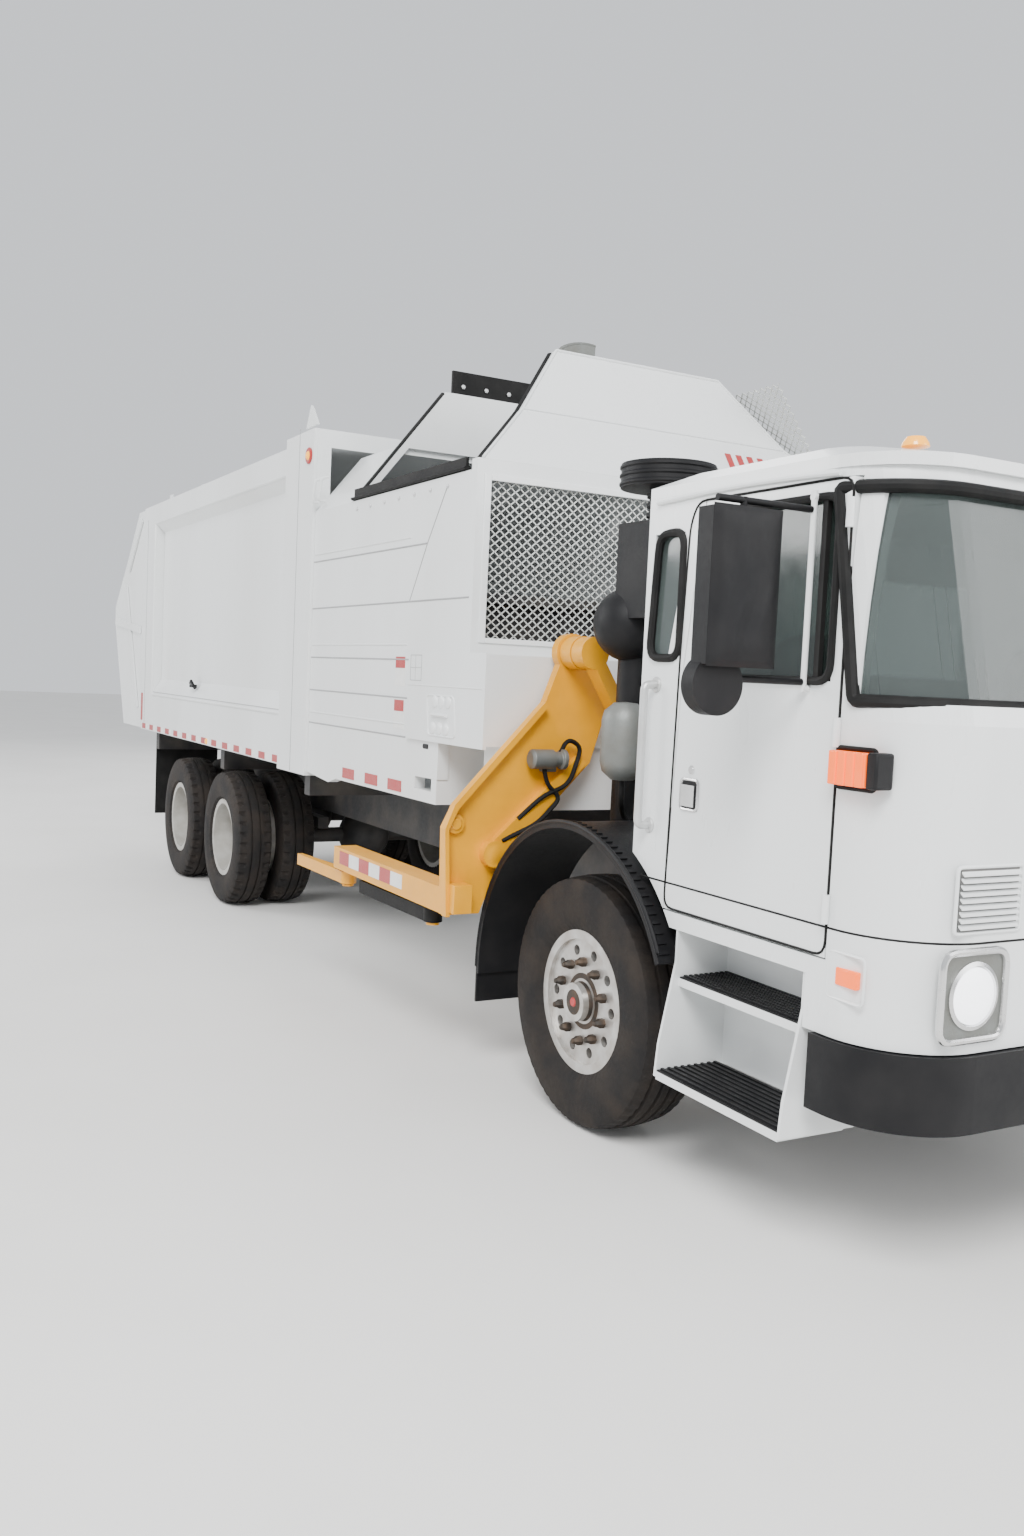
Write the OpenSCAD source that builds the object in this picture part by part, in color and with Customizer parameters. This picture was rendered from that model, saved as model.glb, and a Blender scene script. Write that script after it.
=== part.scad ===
// Side-loading refuse truck: low-entry cab, hopper with canopy, ejector body, folding side arm.
// X points forward, Y to the truck's left, Z up. Lengths in the modules run from the front axle.

/* [Overall] */
// Front axle to the front of the bumper
front_reach = 1830; // [1760:10:1950]
// Front axle to the rear of the tailgate's bulge
rear_reach = 9300; // [9000:10:9800]
// Half width of the refuse body
body_half = 1240; // [1200:5:1275]
// Top of the body's side walls
body_top = 3317; // [3100:10:3500]
// Bottom edge of the body's side walls
body_low = 1215; // [1150:5:1300]
// Thickness of the ribbed body walls
body_wall = 90; // [75:5:100]

/* [Axles] */
// Front axle to the first rear axle
wheelbase = 5255; // [4800:5:5400]
// Distance between the two rear axles
tandem = 1342; // [1280:2:1400]
// Outer radius of the front tyres
front_tyre_r = 530; // [500:5:540]
// Width of a front tyre
front_tyre_w = 305; // [270:5:320]
// Outer radius of the rear tyres
rear_tyre_r = 520; // [500:5:530]
// Width of one rear tyre
rear_tyre_w = 270; // [240:5:280]
// Centre to centre of twin tyres
twin_gap = 340; // [330:2:360]
// Half track of the front wheels
front_track = 1030; // [1020:5:1045]
// Half track of the rear wheel pairs
rear_track = 905; // [890:5:915]
// Radius that a tyre's bead sits on
bead_r = 286; // [280:1:292]
// King pin's distance from the centre line
king_y = 780; // [770:5:790]

/* [Cab] */
// Half width of the cab
cab_half = 1200; // [1170:5:1220]
// Rear wall of the cab
cab_back = 400; // [370:5:430]
// Thickness of the cab's walls
cab_wall = 45; // [30:5:60]
// Top of the cab's roof
cab_top = 2665; // [2600:5:2750]
// Front edge of the doors, where they hinge
door_front = 1475; // [1450:5:1490]
// Thickness of a door
door_t = 60; // [45:5:70]

/* [Hopper] */
// Front wall of the hopper
hopper_front = -986; // [-1000:2:-970]
// Pillar where the hopper meets the body
pillar_x = -3210; // [-3300:5:-3150]
// Height of the hopper's loading sill
sill_z = 2850; // [2750:5:2900]
// Top of the hopper's canopy
canopy_top = 3610; // [3500:5:3650]

/* [Arm] */
// Shoulder's distance from the centre line
shoulder_y = 300; // [280:5:320]
// Height of the shoulder
shoulder_z = 1150; // [1140:5:1170]
// Elbow's distance from the centre line, folded
elbow_y = 840; // [820:5:860]
// Height of the elbow, folded
elbow_z = 2000; // [1980:5:2020]

/* [Hidden] */

// Origin is at the middle of the whole length, so the front axle lies here
front_axle_x = (rear_reach - front_reach) / 2;
rear_1 = -wheelbase;
rear_2 = -wheelbase - tandem;
seat_gap = 0.3;
run_gap = 5;
pin_fit = 0.05;
cab_corner = 300;
cab_floor = 980;
cab_nose = front_reach - 20;
rail_y = 390;
rail_w = 85;
rail_low = 750;
rail_high = 1040;
front_rail_low = 690;
fender_in = 860;
step_back = 948;
front_rail_high = 930;

// Moves what is measured from the front axle into the model's own frame
module at_axle() {
    translate([front_axle_x, 0, 0]) children();
}

// A block given by its lowest and highest corners
module block(low, high) {
    translate(low) cube(high - low);
}

// The same shape on the right (as drawn) and mirrored on the left
module both_sides() {
    children();
    mirror([0, 1, 0]) children();
}

// A plate drawn in X and Z, standing across Y between y0 and y1
module plate_xz(y0, y1) {
    translate([0, y1, 0]) rotate([90, 0, 0]) linear_extrude(y1 - y0) children();
}

// A plate drawn in Y and Z, standing across X between x0 and x1
module plate_yz(x0, x1) {
    translate([x0, 0, 0]) rotate([90, 0, 90]) linear_extrude(x1 - x0) children();
}

// A round bar along X, Y or Z from a low corner point
module bar_x(x0, x1, y, z, r) {
    translate([x0, y, z]) rotate([0, 90, 0]) cylinder(h = x1 - x0, r = r, $fn = 48);
}
module bar_y(x, y0, y1, z, r) {
    translate([x, y0, z]) rotate([-90, 0, 0]) cylinder(h = y1 - y0, r = r, $fn = 48);
}
module bar_z(x, y, z0, z1, r) {
    translate([x, y, z0]) cylinder(h = z1 - z0, r = r, $fn = 48);
}

// ---- chassis ----

// Two stepped rails with the brackets and stays they carry
module chassis_rails() {
    color("dimgray") at_axle() both_sides() {
        block([-8000, -rail_y - rail_w / 2, rail_low], [-640, -rail_y + rail_w / 2, rail_high]);
        block([-700, -rail_y - rail_w / 2, front_rail_low], [1500, -rail_y + rail_w / 2, front_rail_high]);
        // Bracket that holds the bumper
        block([1450, -rail_y - rail_w / 2, 620], [cab_nose - 90 - seat_gap, -rail_y + rail_w / 2, front_rail_low + 80]);
        // Stays of the wheel arch and the steps
        block([-640, -fender_in + seat_gap, 880], [-600, -rail_y, 920]);
        block([1000, -step_back + seat_gap, 600], [1080, -rail_y - rail_w / 2, 660]);
        block([1000, -rail_y - rail_w / 2 - 40, 600], [1080, -rail_y - rail_w / 2, front_rail_high]);
    }
}

// Members between the rails
module cross_members() {
    reach = rail_y - rail_w / 2 - seat_gap;
    color("dimgray") at_axle() {
        for (x = [-7900, -4500, -2600, -1250]) {
            block([x, -reach, rail_low + 60], [x + 90, reach, rail_high - 40]);
        }
        block([1350, -reach, front_rail_low + 20], [1440, reach, front_rail_high - 20]);
    }
}

// Sills on the rails that carry the body and the cab
module sills() {
    color("dimgray") at_axle() {
        for (x = [-7700, -5500, -3500, -1300]) {
            block([x, -1150, rail_high + seat_gap], [x + 100, 1150, body_low]);
        }
        block([1000, -940, front_rail_high + seat_gap], [1100, 940, cab_floor]);
    }
}

// Plain block of the engine, low between the rails behind the cab
module engine_block() {
    color("dimgray") at_axle() {
        block([-420, -300, 620], [950, 300, 970]);
        for (x = [-300, 750]) {
            block([x, -rail_y + rail_w / 2 + seat_gap, 780], [x + 90, rail_y - rail_w / 2 - seat_gap, 850]);
        }
    }
}

// Fuel tank hung on the left rail
module fuel_tank() {
    color("silver") at_axle() {
        bar_x(-3900, -2750, 770, 720, 300);
        for (x = [-3750, -2950]) {
            block([x, rail_y + rail_w / 2, 700], [x + 60, 490, 800]);
        }
    }
}

// Front beam with a bored eye for each king pin
module front_axle() {
    color("dimgray") at_axle() both_sides() {
        difference() {
            union() {
                block([-50, -king_y, 430], [50, 0, 530]);
                bar_z(0, -king_y, 430, 630, 55);
            }
            bar_z(0, -king_y, 400, 660, 25 + pin_fit);
        }
    }
}

// One driven axle: tube, banjo housing and the ends that the hubs turn on
module rear_axle(x) {
    bar_y(x, -rear_track - 40, rear_track + 40, rear_tyre_r, 60);
    difference() {
        translate([x, 0, rear_tyre_r]) sphere(r = 210, $fn = 64);
        bar_y(x, -400, 400, rear_tyre_r, 60);
    }
}
module rear_axles() {
    color("dimgray") at_axle() {
        rear_axle(rear_1);
        rear_axle(rear_2);
    }
}

// Leaf packs over the front beam and walking beams between the rear axles
module suspension() {
    color("dimgray") at_axle() both_sides() {
        block([-600, -440, 530], [600, -350, 585]);
        block([-590, -440, 585], [-530, -350, front_rail_low]);
        block([530, -440, 585], [590, -350, front_rail_low]);
        block([rear_2 - 80, -430, rear_tyre_r + 60.3], [rear_1 + 80, -340, 670]);
        block([rear_1 - tandem / 2 - 90, -430, 670], [rear_1 - tandem / 2 + 90, -340, rail_low]);
    }
}

// ---- wheels: the axle line is along Y, s is the outward side (-1 right, 1 left) ----

// Section of a tyre, in radius and width
module tyre_section(r, w) {
    h = w / 2;
    polygon([[bead_r, -h * 0.7], [bead_r + 16, -h * 0.7], [bead_r + 90, -h], [r - 40, -h * 0.93], [r, -h * 0.78],
        [r, h * 0.78], [r - 40, h * 0.93], [bead_r + 90, h], [bead_r + 16, h * 0.7], [bead_r, h * 0.7]]);
}
module tyre(x, y, r, w) {
    translate([x, y, r]) rotate([90, 0, 0]) rotate_extrude($fn = 96) tyre_section(r, w);
}

// Section of a rim's barrel with its two lips, inside the tyre's bead
module barrel_section(w) {
    h = w * 0.35;
    polygon([[bead_r - 24, -h - 16], [bead_r + 14, -h - 16], [bead_r + 14, -h - seat_gap],
        [bead_r - seat_gap, -h - seat_gap], [bead_r - seat_gap, h + seat_gap],
        [bead_r + 14, h + seat_gap], [bead_r + 14, h + 16], [bead_r - 24, h + 16]]);
}

// Front rim: disc near the outer lip, hub round the spindle, drum behind
module front_rim(s) {
    r_spindle = 45;
    translate([0, s * front_track, front_tyre_r]) rotate([-90 * s, 0, 0]) difference() {
        union() {
            rotate_extrude($fn = 96) barrel_section(front_tyre_w);
            translate([0, 0, 84]) cylinder(h = 22, r = bead_r - 10, $fn = 96);
            translate([0, 0, -60]) cylinder(h = 170, r = 95, $fn = 64);
            translate([0, 0, 100]) cylinder(h = 55, r = 80, $fn = 64);
            translate([0, 0, -90]) difference() {
                cylinder(h = 175, r = 200, $fn = 96);
                translate([0, 0, -1]) cylinder(h = 150, r = 185, $fn = 96);
            }
        }
        translate([0, 0, -100]) cylinder(h = 180, r = r_spindle + pin_fit, $fn = 64);
        for (a = [0:36:324]) {
            rotate([0, 0, a]) translate([215, 0, 70]) cylinder(h = 50, r = 22, $fn = 32);
        }
    }
}

// Twin rims back to back on one hub round the axle's end
module twin_rims(s) {
    difference() {
        union() {
            for (side = [-1, 1]) {
                translate([0, 0, side * twin_gap / 2]) rotate_extrude($fn = 96) barrel_section(rear_tyre_w);
                translate([0, 0, side * 18 - 18]) cylinder(h = 36, r = bead_r - 10, $fn = 96);
            }
            // Discs reach each barrel through a cone-shaped web, drawn as one drum
            difference() {
                translate([0, 0, -twin_gap / 2]) cylinder(h = twin_gap, r = bead_r - 10, $fn = 96);
                translate([0, 0, -twin_gap / 2 - 1]) cylinder(h = twin_gap + 2, r = bead_r - 24, $fn = 96);
            }
            translate([0, 0, -120]) cylinder(h = 200, r = 130, $fn = 64);
            translate([0, 0, 80]) cylinder(h = 60, r = 110, $fn = 64);
        }
        translate([0, 0, -130]) cylinder(h = 180, r = 60 + pin_fit, $fn = 64);
        for (a = [0:72:288]) {
            rotate([0, 0, a]) translate([200, 0, -60]) cylinder(h = 120, r = 28, $fn = 32);
        }
    }
}
module twin_tyres(x, s) {
    tyre(x, s * (rear_track + twin_gap / 2), rear_tyre_r, rear_tyre_w);
    tyre(x, s * (rear_track - twin_gap / 2), rear_tyre_r, rear_tyre_w);
}
module place_twin_rims(x, s) {
    translate([x, s * rear_track, rear_tyre_r]) rotate([-90 * s, 0, 0]) twin_rims(s);
}

module front_tyre_right() { color("black") at_axle() tyre(0, -front_track, front_tyre_r, front_tyre_w); }
module front_tyre_left() { color("black") at_axle() tyre(0, front_track, front_tyre_r, front_tyre_w); }
module front_rim_right() { color("silver") at_axle() front_rim(-1); }
module front_rim_left() { color("silver") at_axle() front_rim(1); }
module rear_tyres_1_right() { color("black") at_axle() twin_tyres(rear_1, -1); }
module rear_tyres_1_left() { color("black") at_axle() twin_tyres(rear_1, 1); }
module rear_tyres_2_right() { color("black") at_axle() twin_tyres(rear_2, -1); }
module rear_tyres_2_left() { color("black") at_axle() twin_tyres(rear_2, 1); }
module rear_rims_1_right() { color("silver") at_axle() place_twin_rims(rear_1, -1); }
module rear_rims_1_left() { color("silver") at_axle() place_twin_rims(rear_1, 1); }
module rear_rims_2_right() { color("silver") at_axle() place_twin_rims(rear_2, -1); }
module rear_rims_2_left() { color("silver") at_axle() place_twin_rims(rear_2, 1); }

// Knuckle: pin through the beam's eye, two lugs, a web outboard and the spindle
module knuckle() {
    web_y = -king_y - 62;
    bar_z(0, -king_y, 425, 635, 25);
    block([-45, web_y - 28, 395], [45, -king_y + 30, 425]);
    block([-45, web_y - 28, 635], [45, -king_y + 30, 665]);
    block([-45, web_y - 28, 395], [45, web_y, 665]);
    bar_y(0, -front_track - 70, web_y - 20, front_tyre_r, 45);
}
module knuckle_right() { color("dimgray") at_axle() knuckle(); }
module knuckle_left() { color("dimgray") at_axle() mirror([0, 1, 0]) knuckle(); }

// ---- cab ----

// Plan of the cab at one height: straight rear, round front corners, set in by d
module cab_plan(front, d) {
    r = cab_corner - d;
    x0 = cab_back + d;
    xc = front - cab_corner;
    yc = cab_half - cab_corner;
    translate([x0, -cab_half + d]) square([xc - x0, 2 * (cab_half - d)]);
    translate([x0, -yc]) square([front - d - x0, 2 * yc]);
    for (s = [-1, 1]) {
        translate([xc, s * yc]) circle(r = r, $fn = 48);
    }
}

// Closed shape of the cab: upright up to the belt, then leaning back to the roof, set in by d
module cab_solid(d) {
    belt = 1790;
    translate([0, 0, cab_floor + d]) linear_extrude(belt - cab_floor - d) cab_plan(cab_nose, d);
    hull() {
        translate([0, 0, belt]) linear_extrude(1) cab_plan(cab_nose, d, $fn = 32);
        translate([0, 0, cab_top - 100 - d]) linear_extrude(1) cab_plan(cab_nose - 170, d, $fn = 32);
    }
}

// Outline of a door in X and Z, grown by g: the rear edge leans forward to the top
module door_outline(g) {
    polygon([[620 - g, 1045 - g], [door_front + g, 1045 - g], [door_front + g, 2530 + g],
        [750 - g, 2530 + g], [660 - g, 1900]]);
}
// Window in the door and the quarter window behind it
module door_window() {
    polygon([[800, 1905], [1425, 1905], [1425, 2480], [850, 2480]]);
}
module quarter_window() {
    polygon([[445, 1970], [560, 1970], [610, 2200], [630, 2430], [445, 2430]]);
}

// Walls and floor of the cab, with its doorways, windows and wheel arches cut out
module cab_shell() {
    color("white") at_axle() difference() {
        union() {
            difference() {
                cab_solid(0);
                cab_solid(cab_wall);
            }
            // Lower nose behind the bumper
            difference() {
                translate([0, 0, 805]) linear_extrude(cab_floor - 805 + 5) cab_plan(cab_nose, 0);
                translate([0, 0, 804]) linear_extrude(cab_floor) cab_plan(cab_nose, cab_wall);
                block([0, -1300, 700], [1395, 1300, cab_floor]);
            }
        }
        for (s = [-1, 1]) {
            mirror([0, s < 0 ? 0 : 1, 0]) {
                plate_xz(-1300, -1000) door_outline(6);
                plate_xz(-1300, -1000) quarter_window();
            }
        }
        // Windshield opening, wrapped round both corners
        block([1540, -1300, 1850], [2000, 1300, 2500]);
        // Rear window
        block([300, -500, 1950], [500, 500, 2350]);
        // Wheel arches, right across under the floor
        bar_y(0, -1300, 1300, front_tyre_r, 800);
        // The roof skin is its own piece
        block([300, -1300, cab_top - 101], [2000, 1300, cab_top + 100]);
    }
    // Inner wheel houses close the floor over the arches
    color("white") at_axle() intersection() {
        difference() {
            bar_y(0, -cab_half + door_t + 10, cab_half - door_t - 10, front_tyre_r, 830);
            bar_y(0, -1300, 1300, front_tyre_r, 800);
        }
        block([cab_back, -1300, 1000], [900, 1300, 1400]);
    }
}

// Roof skin with a rounded edge
module cab_roof() {
    color("white") at_axle() hull() {
        translate([0, 0, cab_top - 100.7]) linear_extrude(40) cab_plan(cab_nose - 150, 0, $fn = 32);
        translate([0, 0, cab_top - 1]) linear_extrude(1) cab_plan(cab_nose - 330, 130, $fn = 32);
    }
}

// Glass of the windshield, the quarter windows and the rear window
module cab_glass() {
    color("darkslategray") at_axle() {
        intersection() {
            difference() {
                cab_solid(12);
                cab_solid(20);
            }
            block([1540 + seat_gap, -1300, 1850 + seat_gap], [2000, 1300, 2500 - seat_gap]);
        }
        both_sides() plate_xz(-cab_half + 10, -cab_half + 16) offset(delta = -seat_gap) quarter_window();
        block([cab_back + 15, -500 + seat_gap, 1950 + seat_gap], [cab_back + 21, 500 - seat_gap, 2350 - seat_gap]);
    }
}

// Dashboard with the steering column, its wheel and a centre console
module dashboard() {
    color("dimgray") at_axle() {
        block([1350, -1000, 1250], [1700, 1000, 1700]);
        translate([1370, 550, 1640]) rotate([0, -60, 0]) {
            cylinder(h = 140, r = 30, $fn = 32);
            translate([0, 0, 135]) rotate_extrude($fn = 48) translate([215, 0]) circle(r = 16, $fn = 24);
            translate([-215, -18, 128]) cube([430, 36, 14]);
        }
        block([1300, -150, cab_floor + cab_wall], [1400, 150, 1300]);
    }
}

// Two seats, each a cushion, a back and a pedestal
module seats() {
    color("gray") at_axle() both_sides() {
        block([880, -780, cab_floor + cab_wall], [1080, -480, 1310]);
        block([780, -860, 1310], [1230, -400, 1430]);
        block([700, -850, 1435], [820, -410, 2080]);
        block([700, -850, 1330], [780 - seat_gap, -410, 1435]);
    }
}

// Bumper bent round the front corners
module front_bumper() {
    color("black") at_axle() difference() {
        translate([0, 0, 560]) linear_extrude(240) cab_plan(front_reach - 15, -15);
        translate([0, 0, 559]) linear_extrude(242) cab_plan(cab_nose - 60, 30);
        block([0, -1300, 500], [1440, 1300, 900]);
    }
}

// Headlamps let into the nose, turn signals round the corners
module front_lamps() {
    color("orange") at_axle() both_sides() {
        bar_x(cab_nose + 0.3, cab_nose + 17, -920, 985, 82);
        block([1487, -1252, 1590], [1640, -cab_half - seat_gap, 1700]);
    }
}

// Two treads a side on folded stringers below the door
module steps() {
    color("white") at_axle() both_sides() {
        for (x = [700, 1380]) {
            plate_yz(x, x + 12) polygon([[-1195, cab_floor], [-1195, 860], [-1255, 560],
                [-1265, 440], [-step_back + 8, 440], [-step_back + 8, cab_floor]]);
        }
        block([712, -1180, 770], [1380, -950, 800]);
        block([712, -1262, 430], [1380, -980, 460]);
        block([712, -step_back - 12, 460], [1380, -step_back, cab_floor - 5]);
    }
}

// Wheel arch trims: a bent strip with a straight mud flap behind the wheel
module fenders() {
    outer = 755;
    color("black") at_axle() both_sides() {
        translate([0, -1255, front_tyre_r]) rotate([-90, 0, 0]) intersection() {
            difference() {
                cylinder(h = 1255 - fender_in, r = outer, $fn = 96);
                translate([0, 0, -1]) cylinder(h = 400, r = outer - 25, $fn = 96);
            }
            linear_extrude(400) polygon([[0, 0], [-1000, 60], [-1000, -1000], [1000, -1000], [1000, -470]]);
        }
        block([-outer, -1255, 350], [-outer + 12, -fender_in, front_tyre_r]);
    }
}

// Air intake behind the cab: cap, neck, duct and the bulb of the elbow
module air_intake() {
    color("black") at_axle() {
        bar_z(-30, -820, 2690, 2790, 200);
        bar_z(-30, -820, 2540, 2690, 75);
        block([-270, -900, 2150], [50, -740, 2560]);
        translate([-290, -800, 2130]) sphere(r = 165, $fn = 48);
        bar_z(-290, -760, 1250, 2110, 80);
        block([-360, -760, 1250], [-220, -rail_y + rail_w / 2, 1330]);
        block([-360, -rail_y - rail_w / 2, front_rail_high], [-220, -rail_y + rail_w / 2, 1330]);
    }
}

// ---- doors: drawn for the right side ----

module door() {
    difference() {
        union() {
            plate_xz(-cab_half, -cab_half + 4) door_outline(0);
            difference() {
                plate_xz(-cab_half + 3, -cab_half + door_t) door_outline(0);
                plate_xz(-cab_half + 4, -cab_half + door_t - 4) door_core();
            }
            // Mirror stays
            bar_z(1325, -cab_half - 20, 1880, 2500, 10);
            for (z = [1880, 2480]) {
                bar_y(1325, -cab_half - 28, -cab_half + 5, z, 12);
            }
        }
        plate_xz(-cab_half - 1, -cab_half + door_t + 1) door_window();
    }
}
// Hollow inside the lower door, above its sill
module door_core() {
    polygon([[690, 1100], [1410, 1100], [1410, 1850], [720, 1850]]);
}
module door_glass() {
    plate_xz(-cab_half + 20, -cab_half + 26) offset(delta = -seat_gap) door_window();
}
// Mirror head, round lower mirror and the arm that carries them
module mirror_set() {
    bar_y(1325, -1600, -cab_half - 30 - seat_gap, 2440, 11);
    bar_y(1325, -1520, -cab_half - 30 - seat_gap, 1900, 11);
    bar_z(1325, -1500, 1890, 2450, 11);
    block([1290, -1640, 1940], [1370, -1390, 2410]);
    translate([1280, -1570, 1880]) rotate([0, 90, 0]) cylinder(h = 60, r = 95, $fn = 64);
}
module door_right() { color("white") at_axle() door(); }
module door_left() { color("white") at_axle() mirror([0, 1, 0]) door(); }
module door_glass_right() { color("darkslategray") at_axle() door_glass(); }
module door_glass_left() { color("darkslategray") at_axle() mirror([0, 1, 0]) door_glass(); }
module mirror_right() { color("black") at_axle() mirror_set(); }
module mirror_left() { color("black") at_axle() mirror([0, 1, 0]) mirror_set(); }

// ---- hopper and body ----

hopper_wall = 60;
floor_t = 60;
frame_x = -2600;

// One side wall of the hopper, in X and Z
module hopper_side() {
    polygon([[pillar_x, body_low], [-2830, 1185], [-2585, 1244], [-1564, 1253], [-1560, 1338],
        [-1293, 1342], [-1293, 1530], [hopper_front, 1530], [hopper_front, sill_z], [pillar_x, sill_z]]);
}
// Half of the canopy's cross section, from the sill in to the top
module canopy_line(top, out) {
    w = body_half - out;
    slope = 0.8;
    polygon([[-w, sill_z], [-w + slope * (top - sill_z), top], [w - slope * (top - sill_z), top], [w, sill_z]]);
}

// Tub, front wall with its screen opening, rear hoop of the canopy and the shoulder behind it
module hopper() {
    color("white") at_axle() {
        plate_xz(-body_half, -body_half + hopper_wall) hopper_side();
        plate_xz(body_half - hopper_wall, body_half) hopper_side();
        block([pillar_x, -body_half + 1, body_low], [-1300, body_half - 1, body_low + floor_t]);
        // Front wall: solid low down, a frame round the screen above
        difference() {
            block([hopper_front - hopper_wall, -body_half + 1, 1530], [hopper_front, body_half - 1, 2900]);
            block([hopper_front - 100, -1170, 2045], [hopper_front + 10, 1170, 2810]);
        }
        block([-1360, -body_half + 1, body_low], [-1300, body_half - 1, 1590]);
        block([-1360, -body_half + 1, 1530], [hopper_front, body_half - 1, 1590]);
        // Rear hoop of the canopy
        difference() {
            plate_yz(frame_x - 25, frame_x + 25) canopy_line(3560, 0);
            plate_yz(frame_x - 30, frame_x + 30) canopy_line(3200, hopper_wall);
            block([frame_x - 30, -1180, 2700], [frame_x + 30, 1180, sill_z + 1]);
        }
        // Shoulder between the hoop and the body
        difference() {
            plate_yz(pillar_x, frame_x) canopy_line(3215, 0);
            plate_yz(pillar_x - 1, frame_x + 1) canopy_line(3165, hopper_wall);
            block([pillar_x - 1, -1180, 2700], [frame_x + 1, 1180, sill_z + 1]);
        }
    }
}

// Sloped hood: two planes that narrow towards the top
module hopper_hood() {
    color("white") at_axle() intersection() {
        plate_xz(-1240, 1240) polygon([[hopper_front, 2900 + seat_gap], [-1278, 3225], [-1510, canopy_top],
            [-1550, canopy_top], [-1318, 3215], [hopper_front - hopper_wall, 2905]]);
        plate_yz(-1600, -900) polygon([[-1215, 2890], [-852, 3225], [-539, canopy_top + 1],
            [539, canopy_top + 1], [852, 3225], [1215, 2890]]);
    }
}

// Screens of expanded metal: one in the front wall, one down the canopy's left side
module hopper_screen() {
    color("silver") at_axle() {
        block([hopper_front - 40, -1170 + seat_gap, 2045 + seat_gap], [hopper_front - 28, 1170 - seat_gap, 2810 - seat_gap]);
        intersection() {
            plate_yz(frame_x + 25.3, hopper_front - hopper_wall - 1) polygon([[body_half - 5, sill_z + seat_gap],
                [680, 3550], [640, 3550], [body_half - 55, sill_z + seat_gap]]);
            plate_xz(0, 1300) polygon([[frame_x, 2800], [-1055, 2800], [-1100, 2935], [-1335, 3210],
                [-1575, 3600], [frame_x, 3600]]);
        }
    }
}

// Cabinet across the hopper's front, with a raised panel round the corner and the sump below
module control_box() {
    color("white") at_axle() {
        block([hopper_front + seat_gap, -body_half, 1545], [-780, 1100, 1975]);
        block([-1655, -body_half - 18, 1530], [-780, -body_half - seat_gap, 1980]);
        block([hopper_front + 20, -1150, 1240], [-800, 200, 1545]);
    }
}

// Rubber: flap on the hoop, strip along the loading sill
module rubber_flaps() {
    color("black") at_axle() {
        block([frame_x - 15, -620, 3560 + seat_gap], [frame_x + 5, 620, 3700]);
        block([frame_x + 30, -body_half + 5, sill_z + seat_gap], [-1120, -body_half + 20, sill_z + 70]);
    }
}

// Load box: walls recessed between the posts, floor and roof, open at both ends
module body_shell() {
    back = -8000;
    recess = body_wall - 20;
    color("white") at_axle() {
        difference() {
            block([back, -body_half, body_low], [pillar_x, body_half, body_top]);
            block([back - 1, -body_half + body_wall, body_low + floor_t], [pillar_x + 1, body_half - body_wall, body_top - 60]);
            for (s = [0, 1]) {
                mirror([0, s, 0]) plate_yz(-7500, pillar_x - 540) polygon([[-body_half - 1, 1583],
                    [-body_half + recess, 1705], [-body_half + recess, 3060], [-body_half - 1, 3127]]);
            }
        }
        // Front hoop of the body, proud of its sides and roof
        difference() {
            block([pillar_x - 545, -body_half - 20, 1190], [pillar_x - 5, body_half + 20, body_top + 50]);
            block([pillar_x - 546, -body_half + body_wall, body_low + floor_t], [pillar_x, body_half - body_wall, body_top - 60]);
            block([pillar_x - 546, -1160, 1100], [pillar_x, 1160, body_low]);
        }
        // Base lugs of the tailgate's cylinders
        for (s = [-1, 1]) {
            block([-7040, s * 900 - 60, body_top - 1], [-6960, s * 900 - 45, 3470]);
            bar_y(-7000, s * 900 - 60, s * 900 + 35, 3420, 20);
        }
        // Ears of the tailgate's hinge
        for (s = [-1, 1]) {
            block([tail_hinge_x, s * 700 - 20, tail_hinge_z - 20], [back + 80, s * 700 + 20, tail_hinge_z + 30]);
            block([back, s * 700 - 20, body_top - 1], [back + 80, s * 700 + 20, tail_hinge_z]);
            bar_y(tail_hinge_x, s * 700 - 20, s * 700 + 20, tail_hinge_z, 38);
            bar_y(tail_hinge_x, s * 700 - 20, s * 700 + 50, tail_hinge_z, 20);
        }
    }
}

// Ejector panel that pushes the load to the rear
module packer() {
    color("dimgray") at_axle() difference() {
        block([-1560, -1140, body_low + floor_t + seat_gap], [-1400, 1140, 2300]);
        block([-1530, -1100, 1330], [-1399, 1100, 2250]);
    }
}

// Bracket of the arm's shoulder on the chassis
module arm_base() {
    color("gold") at_axle() {
        for (x = [-617, -495]) {
            difference() {
                union() {
                    bar_x(x, x + 20, -shoulder_y, shoulder_z, 90);
                    block([x, -rail_y, front_rail_high], [x + 20, -shoulder_y + 60, shoulder_z]);
                }
                bar_x(x - 1, x + 21, -shoulder_y, shoulder_z, 40);
            }
        }
        bar_x(-617, -475, -shoulder_y, shoulder_z, 40);
    }
}

// Rear mud flaps hung from the body's sills
module mud_flaps() {
    color("dimgray") at_axle() both_sides() {
        block([-7700 - 12, -1150, 420], [-7700 - seat_gap, -560, body_low - 20]);
    }
}

// ---- tailgate: closed, its hinge along Y at the top ----

tail_hinge_x = -8040;
tail_hinge_z = 3350;

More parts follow.
